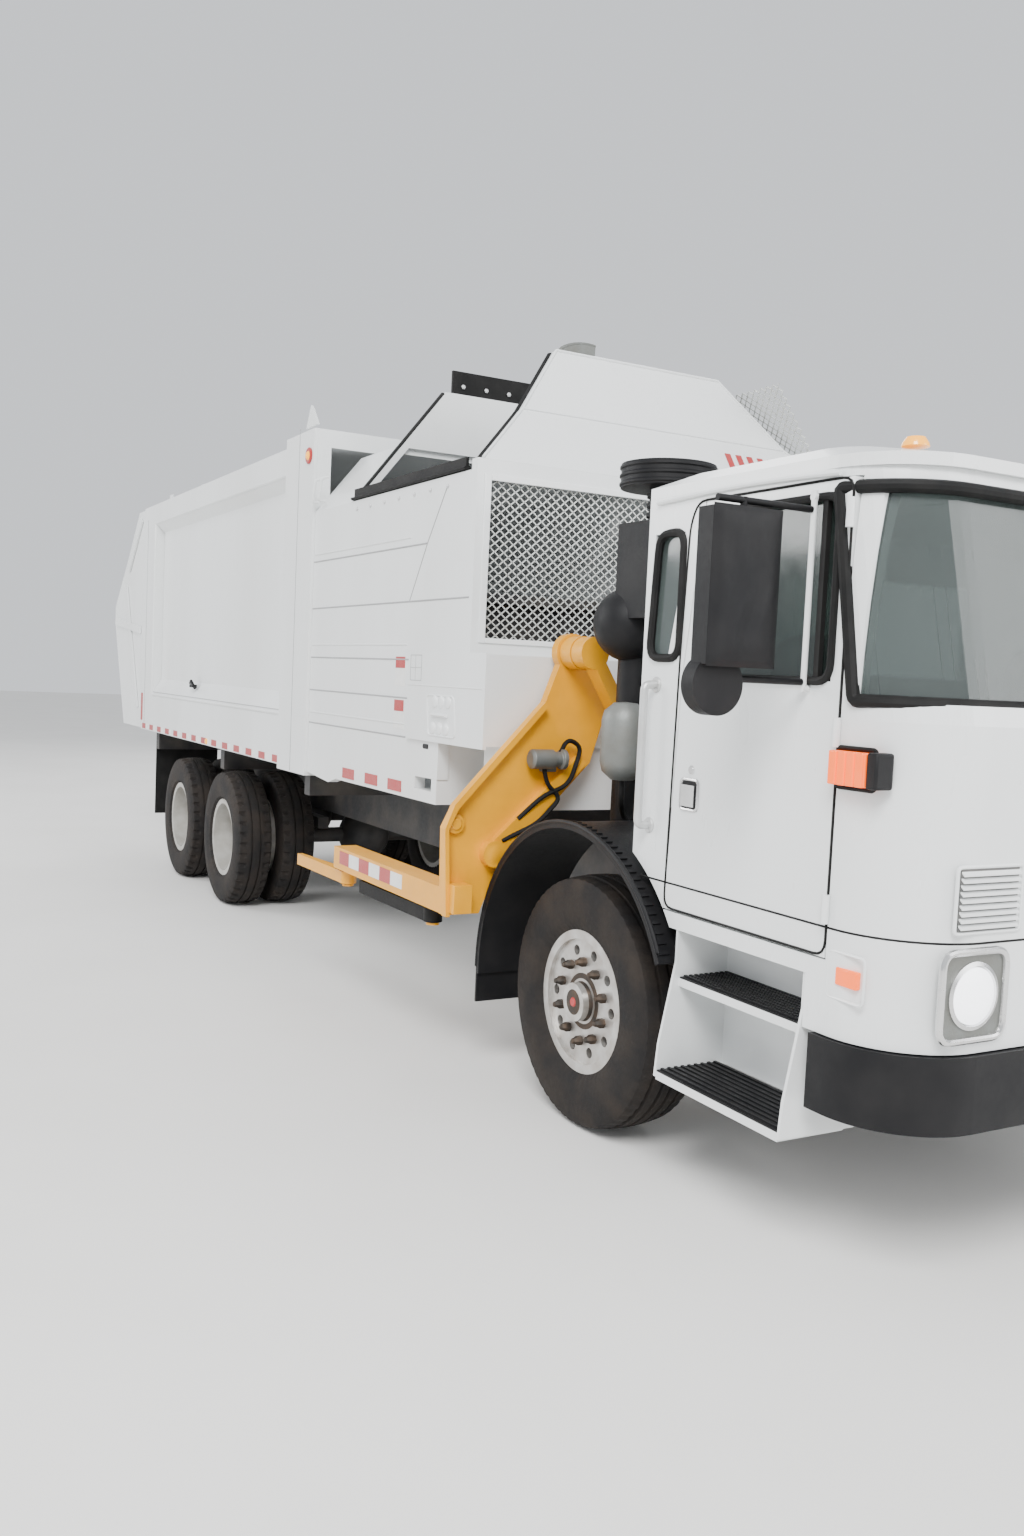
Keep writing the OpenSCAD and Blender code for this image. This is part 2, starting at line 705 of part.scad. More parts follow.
module tailgate() {
    color("white") at_axle() {
        difference() {
            plate_xz(-body_half, body_half) polygon([[-8006, 1225], [-8006, 3300], [-8240, 3300],
                [-8700, 2900], [-rear_reach, 2420], [-rear_reach, 2250], [-8780, 1225]]);
            plate_xz(-body_half + body_wall, body_half - body_wall) polygon([[-8005, 1285], [-8005, 3240],
                [-8215, 3240], [-8660, 2850], [-rear_reach + 60, 2390], [-rear_reach + 60, 2270], [-8740, 1285]]);
        }
        // Hinge lugs and the horns that the cylinders push
        for (s = [-1, 1]) {
            difference() {
                union() {
                    bar_y(tail_hinge_x, s * 700 + 25, s * 700 + 45, tail_hinge_z, 38);
                    block([tail_hinge_x - 34, s * 700 + 25, 3299], [tail_hinge_x + 34, s * 700 + 45, tail_hinge_z]);
                }
                bar_y(tail_hinge_x, s * 700 + 20, s * 700 + 50, tail_hinge_z, 20 + pin_fit);
            }
            block([-8220, s * 900 - 60, 3299], [-8130, s * 900 - 45, 3500]);
        }
    }
}

// Barrels lie over the roof, rods reach back to the horns
module tailgate_barrels() {
    color("gray") at_axle() for (s = [-1, 1]) {
        difference() {
            union() {
                bar_y(-7000, s * 900 - 35, s * 900 + 35, 3420, 45);
                bar_x(-7720, -7030, s * 900, 3420, 38);
            }
            bar_y(-7000, s * 900 - 40, s * 900 + 40, 3420, 20 + pin_fit);
            bar_x(-7721, -7060, s * 900, 3420, 22 + pin_fit);
        }
    }
}
module tailgate_rods() {
    color("silver") at_axle() for (s = [-1, 1]) {
        bar_x(-8170, -7560, s * 900, 3420, 22);
        bar_y(-8180, s * 900 - 35, s * 900 + 35, 3420, 42);
    }
}

// ---- arm: layers across X, folded between the cab and the hopper ----

outer_x = [-745, -695];
inner_x = [-592, -502];
head_x = [-690, -600];

// Leaning link from the shoulder to the elbow
module arm_inner() {
    color("gold") at_axle() difference() {
        union() {
            bar_x(inner_x[0], inner_x[1], -shoulder_y, shoulder_z, 85);
            bar_x(inner_x[0], inner_x[1], -elbow_y, elbow_z, 75);
            plate_yz(inner_x[0], inner_x[1]) polygon([[-shoulder_y - 72, shoulder_z + 46], [-shoulder_y + 72, shoulder_z - 46],
                [-elbow_y + 60, elbow_z - 38], [-elbow_y - 60, elbow_z + 38]]);
        }
        bar_x(inner_x[0] - 1, inner_x[1] + 1, -shoulder_y, shoulder_z, 40 + pin_fit);
        bar_x(inner_x[0] - 1, inner_x[1] + 1, -elbow_y, elbow_z, 35 + pin_fit);
    }
}

// Head at the elbow: the actuator's housing and the pin both links turn on
module arm_head() {
    color("gold") at_axle() {
        bar_x(head_x[0], head_x[1], -elbow_y, elbow_z, 78);
        bar_x(outer_x[0], inner_x[1], -elbow_y, elbow_z, 35);
    }
}

beam_z = 780;
beam_y = -1395;
finger_z = [700, 765];
finger_x = [-950, -2050];

// Hanging plate from the elbow to the grabber's beam along the truck's side
module arm_outer() {
    color("gold") at_axle() {
        difference() {
            union() {
                plate_yz(outer_x[0], outer_x[1]) polygon([[-1465, beam_z], [-1285, beam_z], [-1195, 1000],
                    [-720, 1480], [-620, 1800], [-760, 2030], [-860, 2075], [-985, 1745], [-1430, 1270], [-1475, 1180]]);
                bar_x(outer_x[0], outer_x[1], -elbow_y, elbow_z, 90);
            }
            bar_x(outer_x[0] - 1, outer_x[1] + 1, -elbow_y, elbow_z, 35 + pin_fit);
        }
        // Stiffening flange along the outer edge, boss and brace on the face
        plate_yz(outer_x[1] - 1, outer_x[1] + 45) polygon([[-1475, 1180], [-1430, 1270], [-985, 1745],
            [-1005, 1765], [-1450, 1290], [-1495, 1180]]);
        plate_yz(outer_x[1] - 1, outer_x[1] + 45) polygon([[-1475, beam_z], [-1455, beam_z], [-1475, 1180], [-1495, 1180]]);
        bar_x(outer_x[1] - 1, outer_x[1] + 50, -1235, 1060, 62);
        plate_yz(outer_x[1] - 1, outer_x[1] + 40) polygon([[-1215, 1010], [-760, 1480], [-800, 1520], [-1255, 1110]]);
        // Grabber's beam, box shaped, with a pivot pin under each end
        block([-2110, beam_y - 65, beam_z], [outer_x[0] + 1, beam_y + 65, beam_z + 120]);
        for (x = finger_x) {
            bar_z(x, beam_y, finger_z[0] - 5, beam_z + 1, 20);
            bar_z(x, beam_y, finger_z[0] - 15, finger_z[0] - 5, 32);
        }
    }
}

// Finger: an eye round the pin and a tapering blade that points back
module finger(x, reach) {
    difference() {
        union() {
            bar_z(x, beam_y, finger_z[0], finger_z[1], 45);
            translate([0, 0, finger_z[0]]) linear_extrude(finger_z[1] - finger_z[0])
                polygon([[x, beam_y - 40], [x - reach, beam_y - 55], [x - reach, beam_y - 25], [x, beam_y + 40]]);
        }
        bar_z(x, beam_y, finger_z[0] - 1, finger_z[1] + 1, 20 + pin_fit);
    }
}
module finger_front() { color("black") at_axle() finger(finger_x[0], 800); }
module finger_rear() { color("gold") at_axle() finger(finger_x[1], 690); }

chassis_rails();
cross_members();
sills();
engine_block();
fuel_tank();
front_axle();
rear_axles();
suspension();
cab_shell();
cab_roof();
cab_glass();
dashboard();
seats();
front_bumper();
front_lamps();
steps();
fenders();
air_intake();
hopper();
hopper_hood();
hopper_screen();
control_box();
body_shell();
packer();
arm_base();
mud_flaps();
door_right();
door_glass_right();
mirror_right();
door_left();
door_glass_left();
mirror_left();
knuckle_right();
knuckle_left();
front_tyre_right();
front_rim_right();
front_tyre_left();
front_rim_left();
rear_tyres_1_right();
rear_rims_1_right();
rear_tyres_1_left();
rear_rims_1_left();
rear_tyres_2_right();
rear_rims_2_right();
rear_tyres_2_left();
rear_rims_2_left();
tailgate();
tailgate_barrels();
tailgate_rods();
rubber_flaps();
arm_inner();
arm_head();
arm_outer();
finger_front();
finger_rear();
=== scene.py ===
"""Looks of a side-loading refuse truck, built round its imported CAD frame. Metres, X forward, Z up."""
import math

import bmesh
import bpy
import numpy as np
from mathutils import Matrix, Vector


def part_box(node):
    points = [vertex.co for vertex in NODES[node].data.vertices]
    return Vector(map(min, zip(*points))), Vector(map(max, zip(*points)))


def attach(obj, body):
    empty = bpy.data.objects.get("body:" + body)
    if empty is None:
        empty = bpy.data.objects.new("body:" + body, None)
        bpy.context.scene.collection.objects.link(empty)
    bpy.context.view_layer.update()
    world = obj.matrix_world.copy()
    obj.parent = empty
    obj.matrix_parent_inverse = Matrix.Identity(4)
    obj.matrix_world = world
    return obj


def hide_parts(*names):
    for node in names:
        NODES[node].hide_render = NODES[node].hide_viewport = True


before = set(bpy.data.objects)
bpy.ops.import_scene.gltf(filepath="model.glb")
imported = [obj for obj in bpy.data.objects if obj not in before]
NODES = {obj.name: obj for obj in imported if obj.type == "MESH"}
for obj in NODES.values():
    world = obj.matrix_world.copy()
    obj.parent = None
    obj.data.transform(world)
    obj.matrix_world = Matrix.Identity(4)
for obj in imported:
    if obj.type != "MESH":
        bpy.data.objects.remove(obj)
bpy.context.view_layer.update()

AXLE = (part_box("front_tyre_right")[0][0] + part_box("front_tyre_right")[1][0]) / 2
TYRE_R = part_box("front_tyre_right")[1][2] / 2
CAB_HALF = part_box("cab_shell")[1][1]
BODY_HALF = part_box("hopper")[1][1]


# ---- camera, light and floor ----

def camera(place, yaw, pitch, roll, lens):
    """Looks along -X turned by yaw towards +Y, tipped by pitch, then rolled about the view line."""
    view = np.array([-math.cos(yaw) * math.cos(pitch), math.sin(yaw) * math.cos(pitch), math.sin(pitch)])
    right = np.array([math.sin(yaw), math.cos(yaw), 0.0])
    up = np.cross(right, view)
    right, up = (math.cos(roll) * right + math.sin(roll) * up, math.cos(roll) * up - math.sin(roll) * right)
    cam = bpy.data.objects.new("camera", bpy.data.cameras.new("camera"))
    bpy.context.collection.objects.link(cam)
    axes = Matrix((right, up, -view)).transposed().to_4x4()
    cam.matrix_world = Matrix.Translation(place) @ axes
    cam.data.lens = lens
    cam.data.sensor_width = 36.0
    cam.data.clip_end = 200.0
    bpy.context.scene.camera = cam


camera((AXLE + 4.364, -3.941, 1.876), 0.5052, -0.0729, 0.0452, 29.32)


def area_light(name, place, aim, size, watts):
    """A soft square light that looks from its place at a point."""
    lamp = bpy.data.objects.new(name, bpy.data.lights.new(name, "AREA"))
    lamp.data.size = size
    lamp.data.energy = watts
    z = np.array(place, float) - np.array(aim, float)
    z /= np.linalg.norm(z)
    x = np.cross([0.0, 0.0, 1.0], z)
    x /= np.linalg.norm(x)
    lamp.matrix_world = Matrix.Translation(place) @ Matrix((x, np.cross(z, x), z)).transposed().to_4x4()
    bpy.context.collection.objects.link(lamp)


area_light("key", (13.0, -9.0, 13.0), (0.0, 0.0, 1.5), 7.0, 4200)
area_light("fill", (14.0, 6.0, 6.0), (2.0, 0.0, 1.5), 8.0, 900)
area_light("side", (-8.0, -12.0, 7.0), (-3.0, 0.0, 1.5), 6.0, 1200)
area_light("back", (-14.0, 8.0, 9.0), (0.0, 0.0, 1.5), 9.0, 900)

world = bpy.data.worlds.new("studio")
bpy.context.scene.world = world
world.use_nodes = True
world.node_tree.nodes["Background"].inputs[0].default_value = (0.93, 0.96, 1.0, 1.0)
world.node_tree.nodes["Background"].inputs[1].default_value = 1.0


# ---- materials: every one reads Object coordinates, which are the frame's own metres ----

def material(name, colour, rough, metal=0.0, soil=(0.3, 0.27, 0.22), soiled=0.1, scale=3.0,
             grain=0.0, grain_scale=400.0, coat=0.0, glow=0.0, clear=0.0, gloss=0.5, stretch=(1.0, 1.0, 1.0)):
    """Principled surface whose colour drifts towards soil where a broad noise is high.

    A second, finer noise spreads the roughness round its mean, and a fine grain drives the bump."""
    mat = bpy.data.materials.new(name)
    mat.use_nodes = True
    nodes, links = mat.node_tree.nodes, mat.node_tree.links
    shader = nodes["Principled BSDF"]
    coords = nodes.new("ShaderNodeTexCoord")
    mapping = nodes.new("ShaderNodeMapping")
    mapping.inputs["Scale"].default_value = stretch
    links.new(coords.outputs["Object"], mapping.inputs["Vector"])
    broad = nodes.new("ShaderNodeTexNoise")
    broad.inputs["Scale"].default_value = scale
    broad.inputs["Detail"].default_value = 6.0
    ramp = nodes.new("ShaderNodeValToRGB")
    mixed = [c * (1 - soiled) + s * soiled for c, s in zip(colour, soil)]
    ramp.color_ramp.elements[0].position = 0.35
    ramp.color_ramp.elements[0].color = (*colour, 1.0)
    ramp.color_ramp.elements[1].position = 0.75
    ramp.color_ramp.elements[1].color = (*mixed, 1.0)
    fine = nodes.new("ShaderNodeTexNoise")
    fine.inputs["Scale"].default_value = scale * 9.0
    fine.inputs["Detail"].default_value = 4.0
    spread = nodes.new("ShaderNodeMapRange")
    spread.inputs["To Min"].default_value = max(rough - 0.08, 0.02)
    spread.inputs["To Max"].default_value = min(rough + 0.12, 1.0)
    for noise in (broad, fine):
        links.new(mapping.outputs["Vector"], noise.inputs["Vector"])
    links.new(broad.outputs["Fac"], ramp.inputs["Fac"])
    links.new(ramp.outputs["Color"], shader.inputs["Base Color"])
    links.new(fine.outputs["Fac"], spread.inputs["Value"])
    links.new(spread.outputs["Result"], shader.inputs["Roughness"])
    if grain:
        grit = nodes.new("ShaderNodeTexNoise")
        grit.inputs["Scale"].default_value = grain_scale
        bump = nodes.new("ShaderNodeBump")
        bump.inputs["Strength"].default_value = grain
        bump.inputs["Distance"].default_value = 0.002
        links.new(mapping.outputs["Vector"], grit.inputs["Vector"])
        links.new(grit.outputs["Fac"], bump.inputs["Height"])
        links.new(bump.outputs["Normal"], shader.inputs["Normal"])
    shader.inputs["Metallic"].default_value = metal
    shader.inputs["Specular IOR Level"].default_value = gloss
    shader.inputs["Coat Weight"].default_value = coat
    shader.inputs["Coat Roughness"].default_value = 0.08
    if glow:
        shader.inputs["Emission Color"].default_value = (*colour, 1.0)
        shader.inputs["Emission Strength"].default_value = glow
    if clear:
        shader.inputs["Transmission Weight"].default_value = clear
        shader.inputs["IOR"].default_value = 1.45
    return mat


WHITE = material("white_enamel", (0.80, 0.82, 0.82), 0.28, soiled=0.10, scale=0.9, grain=0.12,
                 grain_scale=90.0, coat=0.35, stretch=(1.0, 1.0, 0.35))
TUB = material("white_plate", (0.78, 0.80, 0.80), 0.36, soiled=0.16, scale=1.3, grain=0.2,
               grain_scale=60.0, coat=0.2, stretch=(1.0, 1.0, 0.3))
YELLOW = material("yellow_enamel", (0.84, 0.37, 0.001), 0.38, soil=(0.22, 0.09, 0.01), soiled=0.25, scale=4.0,
                  grain=0.25, grain_scale=70.0, coat=0.25)
CHASSIS = material("chassis_black", (0.020, 0.020, 0.022), 0.55, soil=(0.16, 0.13, 0.10), soiled=0.3, scale=5.0,
                   grain=0.3, grain_scale=120.0)
PLASTIC = material("black_plastic", (0.007, 0.007, 0.008), 0.45, soil=(0.08, 0.075, 0.07), soiled=0.1, scale=6.0,
                   gloss=0.2,
                   grain=0.35, grain_scale=600.0)
RUBBER = material("black_rubber", (0.006, 0.006, 0.006), 0.6, soil=(0.08, 0.075, 0.07), soiled=0.12, scale=7.0,
                  gloss=0.2,
                  grain=0.4, grain_scale=300.0)
TYRE = material("tyre_rubber", (0.012, 0.011, 0.011), 0.7, soil=(0.07, 0.05, 0.035), soiled=0.3, scale=7.0, gloss=0.2,
                grain=0.6, grain_scale=260.0)
RIM = material("weathered_aluminium", (0.60, 0.59, 0.57), 0.38, metal=0.85, soil=(0.22, 0.16, 0.11), soiled=0.5,
               scale=14.0, grain=0.2, grain_scale=500.0)
DULL_RIM = material("painted_rim", (0.50, 0.49, 0.46), 0.5, metal=0.3, soil=(0.2, 0.17, 0.13), soiled=0.5, scale=9.0,
                    grain=0.3, grain_scale=300.0)
CHROME = material("brushed_tube", (0.72, 0.72, 0.72), 0.22, metal=1.0, soiled=0.15, scale=9.0, grain=0.1)
STEEL = material("galvanised_steel", (0.62, 0.63, 0.63), 0.42, metal=0.6, soiled=0.25, scale=8.0, grain=0.25,
                 grain_scale=200.0)
NUT = material("dark_nut", (0.05, 0.045, 0.04), 0.5, metal=0.8, soil=(0.2, 0.12, 0.07), soiled=0.4, scale=30.0)
CAST = material("grey_casting", (0.20, 0.21, 0.20), 0.5, metal=0.5, soil=(0.12, 0.10, 0.07), soiled=0.4, scale=12.0,
                grain=0.5, grain_scale=160.0)
GLASS = material("green_glass", (0.10, 0.14, 0.13), 0.04, soiled=0.1, scale=2.0, clear=0.85)
SCREEN_GLASS = material("windshield_glass", (0.30, 0.35, 0.34), 0.04, soiled=0.08, scale=2.0, clear=0.88)
ORANGE = material("orange_lens", (1.0, 0.13, 0.0), 0.2, soiled=0.1, scale=20.0, coat=0.3, glow=0.9, grain=0.3,
                  grain_scale=250.0)
AMBER = material("amber_lens", (1.0, 0.42, 0.02), 0.2, soiled=0.1, scale=20.0, coat=0.6, glow=0.8)
CLEAR = material("headlamp_lens", (0.95, 0.97, 1.0), 0.12, soiled=0.03, scale=30.0, glow=2.2, grain=0.6,
                 grain_scale=180.0)
RED = material("red_reflector", (0.42, 0.003, 0.005), 0.35, soiled=0.12, scale=25.0, coat=0.4, grain=0.3,
               grain_scale=500.0)
TAPE = material("white_reflector", (0.82, 0.82, 0.80), 0.4, soiled=0.12, scale=25.0, grain=0.3, grain_scale=500.0)
LINER = material("cab_liner", (0.10, 0.105, 0.11), 0.6, soiled=0.2, scale=8.0, grain=0.4, grain_scale=350.0)
CLOTH = material("seat_cloth", (0.045, 0.047, 0.055), 0.9, soiled=0.2, scale=12.0, grain=0.9, grain_scale=900.0)


# ---- surfaces ----

def at(x, y, z):
    """A point given from the front axle."""
    return np.array([AXLE + x, y, z], float)


def grid_quads(rows, cols, wrap_rows=False, wrap_cols=False):
    """Quads of a rows x cols lattice of points, joined round where it wraps."""
    i = np.arange(rows if wrap_rows else rows - 1)[:, None]
    j = np.arange(cols if wrap_cols else cols - 1)[None, :]
    a = i * cols + j
    b = i * cols + (j + 1) % cols
    c = ((i + 1) % rows) * cols + (j + 1) % cols
    d = ((i + 1) % rows) * cols + j
    return np.stack([a, b, c, d], -1).reshape(-1, 4)


def join(parts):
    """Several (points, faces) pairs as one."""
    points, faces, start = [], [], 0
    for p, f in parts:
        points.append(np.asarray(p, float).reshape(-1, 3))
        faces += [[int(v) + start for v in face] for face in f]
        start += len(points[-1])
    return np.concatenate(points), faces


def piece(name, part, mat, body, bevel=0.0, smooth=True, levels=0):
    """Makes one object from (points, faces), faces outwards, riding on its body."""
    points, faces = part
    mesh = bpy.data.meshes.new(name)
    points = np.asarray(points, float).reshape(-1, 3)
    mesh.from_pydata([tuple(p) for p in points], [], [list(map(int, f)) for f in faces])
    work = bmesh.new()
    work.from_mesh(mesh)
    bmesh.ops.recalc_face_normals(work, faces=work.faces)
    work.to_mesh(mesh)
    work.free()
    mesh.materials.append(mat)
    obj = bpy.data.objects.new(name, mesh)
    bpy.context.collection.objects.link(obj)
    if smooth:
        mesh.shade_smooth()
        mesh.set_sharp_from_angle(angle=math.radians(35))
    if bevel:
        mod = obj.modifiers.new("edge", "BEVEL")
        mod.width = bevel
        mod.segments = 2
        mod.limit_method = "ANGLE"
    if levels:
        mod = obj.modifiers.new("round", "SUBSURF")
        mod.levels = levels
        mod.render_levels = levels
    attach(obj, body)
    return obj


def frames_along(path, closed):
    """Unit tangent and two normals at each point of a path, turned as little as possible."""
    path = np.asarray(path, float)
    if closed:
        tangent = np.roll(path, -1, 0) - np.roll(path, 1, 0)
    else:
        tangent = np.gradient(path, axis=0)
    tangent /= np.linalg.norm(tangent, axis=1)[:, None]
    side = np.zeros_like(path)
    start = np.array([0.0, 0.0, 1.0]) if abs(tangent[0][2]) < 0.9 else np.array([1.0, 0.0, 0.0])
    last = np.cross(tangent[0], start)
    for k, t in enumerate(tangent):
        last = last - t * last.dot(t)
        last /= np.linalg.norm(last)
        side[k] = last
    return tangent, side, np.cross(tangent, side)


def tube(path, radius, sides=12, closed=False, flat=1.0):
    """Circle of the given radius (a number or one per point) carried along a path, ends capped."""
    path = np.asarray(path, float)
    _, a, b = frames_along(path, closed)
    r = np.broadcast_to(np.asarray(radius, float), len(path))[:, None, None]
    turn = np.linspace(0, 2 * math.pi, sides, endpoint=False)[None, :, None]
    points = path[:, None, :] + r * (np.cos(turn) * a[:, None, :] + flat * np.sin(turn) * b[:, None, :])
    faces = grid_quads(len(path), sides, closed, True).tolist()
    if not closed:
        faces += [list(range(sides)), list(range((len(path) - 1) * sides, len(path) * sides))]
    return points.reshape(-1, 3), faces


def rounded(corners, radius, closed=True, steps=6):
    """Polyline with its corners replaced by arcs: quadratic curves between points set back by radius."""
    pts = np.asarray(corners, float)
    out = []
    n = len(pts)
    for k in range(n):
        if not closed and k in (0, n - 1):
            out.append(pts[k][None])
            continue
        p, a, b = pts[k], pts[k - 1], pts[(k + 1) % n]
        da, db = a - p, b - p
        la, lb = np.linalg.norm(da), np.linalg.norm(db)
        back = min(radius, la * 0.48, lb * 0.48)
        s, e = p + da / la * back, p + db / lb * back
        t = np.linspace(0, 1, steps)[:, None]
        out.append((1 - t) ** 2 * s + 2 * t * (1 - t) * p + t ** 2 * e)
    return np.concatenate(out)


def lathe(profile, centre, axis, sides=64):
    """Profile of (radius, distance along the axis) turned once round the axis and closed."""
    axis = np.asarray(axis, float) / np.linalg.norm(axis)
    helper = np.array([0.0, 0.0, 1.0]) if abs(axis[2]) < 0.9 else np.array([1.0, 0.0, 0.0])
    a = np.cross(axis, helper)
    a /= np.linalg.norm(a)
    b = np.cross(axis, a)
    prof = np.asarray(profile, float)
    closed_ring = bool(prof[0][0] > 1e-6 and prof[-1][0] > 1e-6)
    turn = np.linspace(0, 2 * math.pi, sides, endpoint=False)[None, :, None]
    ring = np.cos(turn) * a + np.sin(turn) * b
    points = np.asarray(centre, float) + prof[:, None, 0:1] * ring + prof[:, None, 1:2] * axis
    faces = grid_quads(len(prof), sides, closed_ring, True).tolist()
    return points.reshape(-1, 3), faces


def boxes(lows, highs):
    """Blocks given by arrays of low and high corners."""
    lows, highs = np.atleast_2d(np.asarray(lows, float)), np.atleast_2d(np.asarray(highs, float))
    pick = np.array([[i, j, k] for i in (0, 1) for j in (0, 1) for k in (0, 1)])
    points = np.where(pick[None], highs[:, None], lows[:, None])
    quads = np.array([[0, 1, 3, 2], [4, 6, 7, 5], [0, 4, 5, 1], [2, 3, 7, 6], [0, 2, 6, 4], [1, 5, 7, 3]])
    faces = (quads[None] + 8 * np.arange(len(lows))[:, None, None]).reshape(-1, 4)
    return points.reshape(-1, 3), faces.tolist()


def block(low, high):
    """One block given from the front axle."""
    return boxes([at(*low)], [at(*high)])


def slab(outline, offset):
    """Closed prism: an outline of 3-D points and its copy moved by offset."""
    base = np.asarray(outline, float)
    n = len(base)
    faces = grid_quads(2, n, False, True).tolist() + [list(range(n)), list(range(n, 2 * n))]
    return np.concatenate([base, base + np.asarray(offset, float)]), faces


def on_side(points_xz, y):
    """Outline drawn in X and Z, standing at one Y."""
    return np.array([at(x, y, z) for x, z in points_xz])


def bolt_heads(places, axis, radius=0.012, height=0.008):
    """Domed six-sided heads at the places."""
    prof = [(0, 0), (radius, 0), (radius, height * 0.7), (radius * 0.6, height), (0, height)]
    return join([lathe(prof, p, axis, 6) for p in places])


def dress(nodes, mat):
    """Gives CAD nodes their material."""
    for name in nodes:
        obj = NODES[name]
        if not obj.material_slots:
            obj.data.materials.append(mat)
        for s in obj.material_slots:
            s.material = mat


dress(["cab_shell", "cab_roof", "door_right", "door_left", "hopper_hood"], WHITE)
dress(["hopper", "body_shell", "tailgate", "control_box", "steps"], TUB)
dress(["chassis_rails", "cross_members", "sills", "engine_block", "front_axle", "rear_axles", "suspension",
       "knuckle_right", "knuckle_left",
       "tailgate_barrels", "packer"], CHASSIS)
dress(["front_bumper"], PLASTIC)
dress(["dashboard"], LINER)
dress(["mud_flaps", "rubber_flaps", "finger_front"], RUBBER)
dress(["arm_base", "arm_inner", "arm_head", "arm_outer", "finger_rear"], YELLOW)
dress(["fuel_tank", "tailgate_rods"], CHROME)
dress(["door_glass_right", "door_glass_left"], GLASS)
dress(["cab_glass"], SCREEN_GLASS)
dress(["front_rim_right", "front_rim_left"], RIM)
dress([n for n in NODES if n.startswith("rear_rims")], DULL_RIM)


# ---- tyres ----

BEAD_R = 0.288
REAR_TYRE_W = 0.27
TRACK = -(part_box("front_tyre_right")[0][1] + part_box("front_tyre_right")[1][1]) / 2


def tyre(x, y, radius, width, bead, grooves, lugs, lug_depth, around=240):
    """Tyre section turned about the axle: crowned tread, round shoulders and bulged sidewalls.

    Over the tread the radius drops into narrow rings at the grooves, and in from each shoulder
    it drops again where a raised cosine of the angle says that the gap between two lugs is."""
    half = width / 2
    tread = 0.40 * width
    across = np.concatenate([[-tread], np.linspace(-tread, tread, 61), [tread]])
    crown = radius - 0.012 * (across / tread) ** 2
    for g in grooves:
        crown = crown - 0.013 * (np.abs(across - g * tread) < 0.0065)
    side_y = np.array([0.44, 0.475, 0.5, 0.497, 0.47, 0.40, 0.37]) * width
    side_r = radius - np.array([0.016, 0.036, 0.105, 0.14, 0.20, radius - bead - 0.015, radius - bead])
    ys = np.concatenate([-side_y[::-1], across, side_y])
    rs = np.concatenate([side_r[::-1], crown, side_r])
    turn = np.linspace(0, 2 * math.pi, around, endpoint=False)
    edge = np.clip((np.abs(ys) / half - 0.45) / 0.1, 0, 1) * (np.abs(ys) < 0.46 * width)
    gap = np.clip((np.cos(lugs * turn[:, None] + 9.0 * np.abs(ys)[None]) - 0.55) * 6, 0, 1)
    r = rs[None] - lug_depth * gap * edge[None]
    points = np.stack([AXLE + x + r * np.sin(turn)[:, None], np.broadcast_to(y + ys, r.shape),
                       radius + r * np.cos(turn)[:, None]], -1)
    return points.reshape(-1, 3), grid_quads(around, len(ys), True, True).tolist()


for side, sign in (("right", -1), ("left", 1)):
    steer_tyre = tyre(0, sign * TRACK, TYRE_R, 0.305, BEAD_R, (-0.62, -0.2, 0.2, 0.62), 60, 0.004)
    front = piece("tread_front_" + side, steer_tyre, TYRE, "front_wheel_" + side)
    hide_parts("front_tyre_" + side)
    for k in (1, 2):
        low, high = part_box(f"rear_tyres_{k}_{side}")
        mid, half = (low[1] + high[1]) / 2, (high[1] - low[1]) / 2
        pair = [tyre((low[0] + high[0]) / 2 - AXLE, mid + s * (half - REAR_TYRE_W / 2), high[2] / 2, REAR_TYRE_W,
                     BEAD_R, (-0.3, 0.3), 40, 0.012) for s in (-1, 1)]
        rear = piece(f"tread_rear_{k}_{side}", join(pair), TYRE, f"rear_wheels_{k}_{side}")
        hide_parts(f"rear_tyres_{k}_{side}")


# ---- front hub and nuts, rear hubs and nuts ----

def ring_of(count, radius, y, x=0.0, z=TYRE_R, phase=0.0):
    """Places on a circle about an axle."""
    t = 2 * math.pi * (np.arange(count) + phase) / count
    return [at(x + radius * math.sin(a), y, z + radius * math.cos(a)) for a in t]


NUT_SHAPE = [(0, 0), (0.021, 0), (0.021, 0.022), (0.014, 0.034), (0.011, 0.046), (0, 0.048)]

for side, sign in (("right", -1), ("left", 1)):
    out = (0, sign, 0)
    disc = sign * (TRACK + 0.1055)
    nuts = [lathe(NUT_SHAPE, p, out, 6) for p in ring_of(10, 0.1675, disc)]
    piece("front_nuts_" + side, join(nuts), NUT, "front_wheel_" + side)
    hub = lathe([(0, 0.050), (0.052, 0.050), (0.066, 0.044), (0.078, 0.030), (0.084, 0.004), (0.118, 0.002),
                 (0.118, -0.002), (0.0, -0.002)], at(0, disc, TYRE_R), out, 48)
    piece("front_hub_" + side, hub, NUT, "front_wheel_" + side)
    plug = lathe([(0, 0.0545), (0.016, 0.0545), (0.02, 0.050), (0, 0.050)], at(0, disc, TYRE_R), out, 24)
    piece("hub_plug_" + side, plug, RED, "front_wheel_" + side)

# ---- seats: padded cushions and backs over the plain solids ----

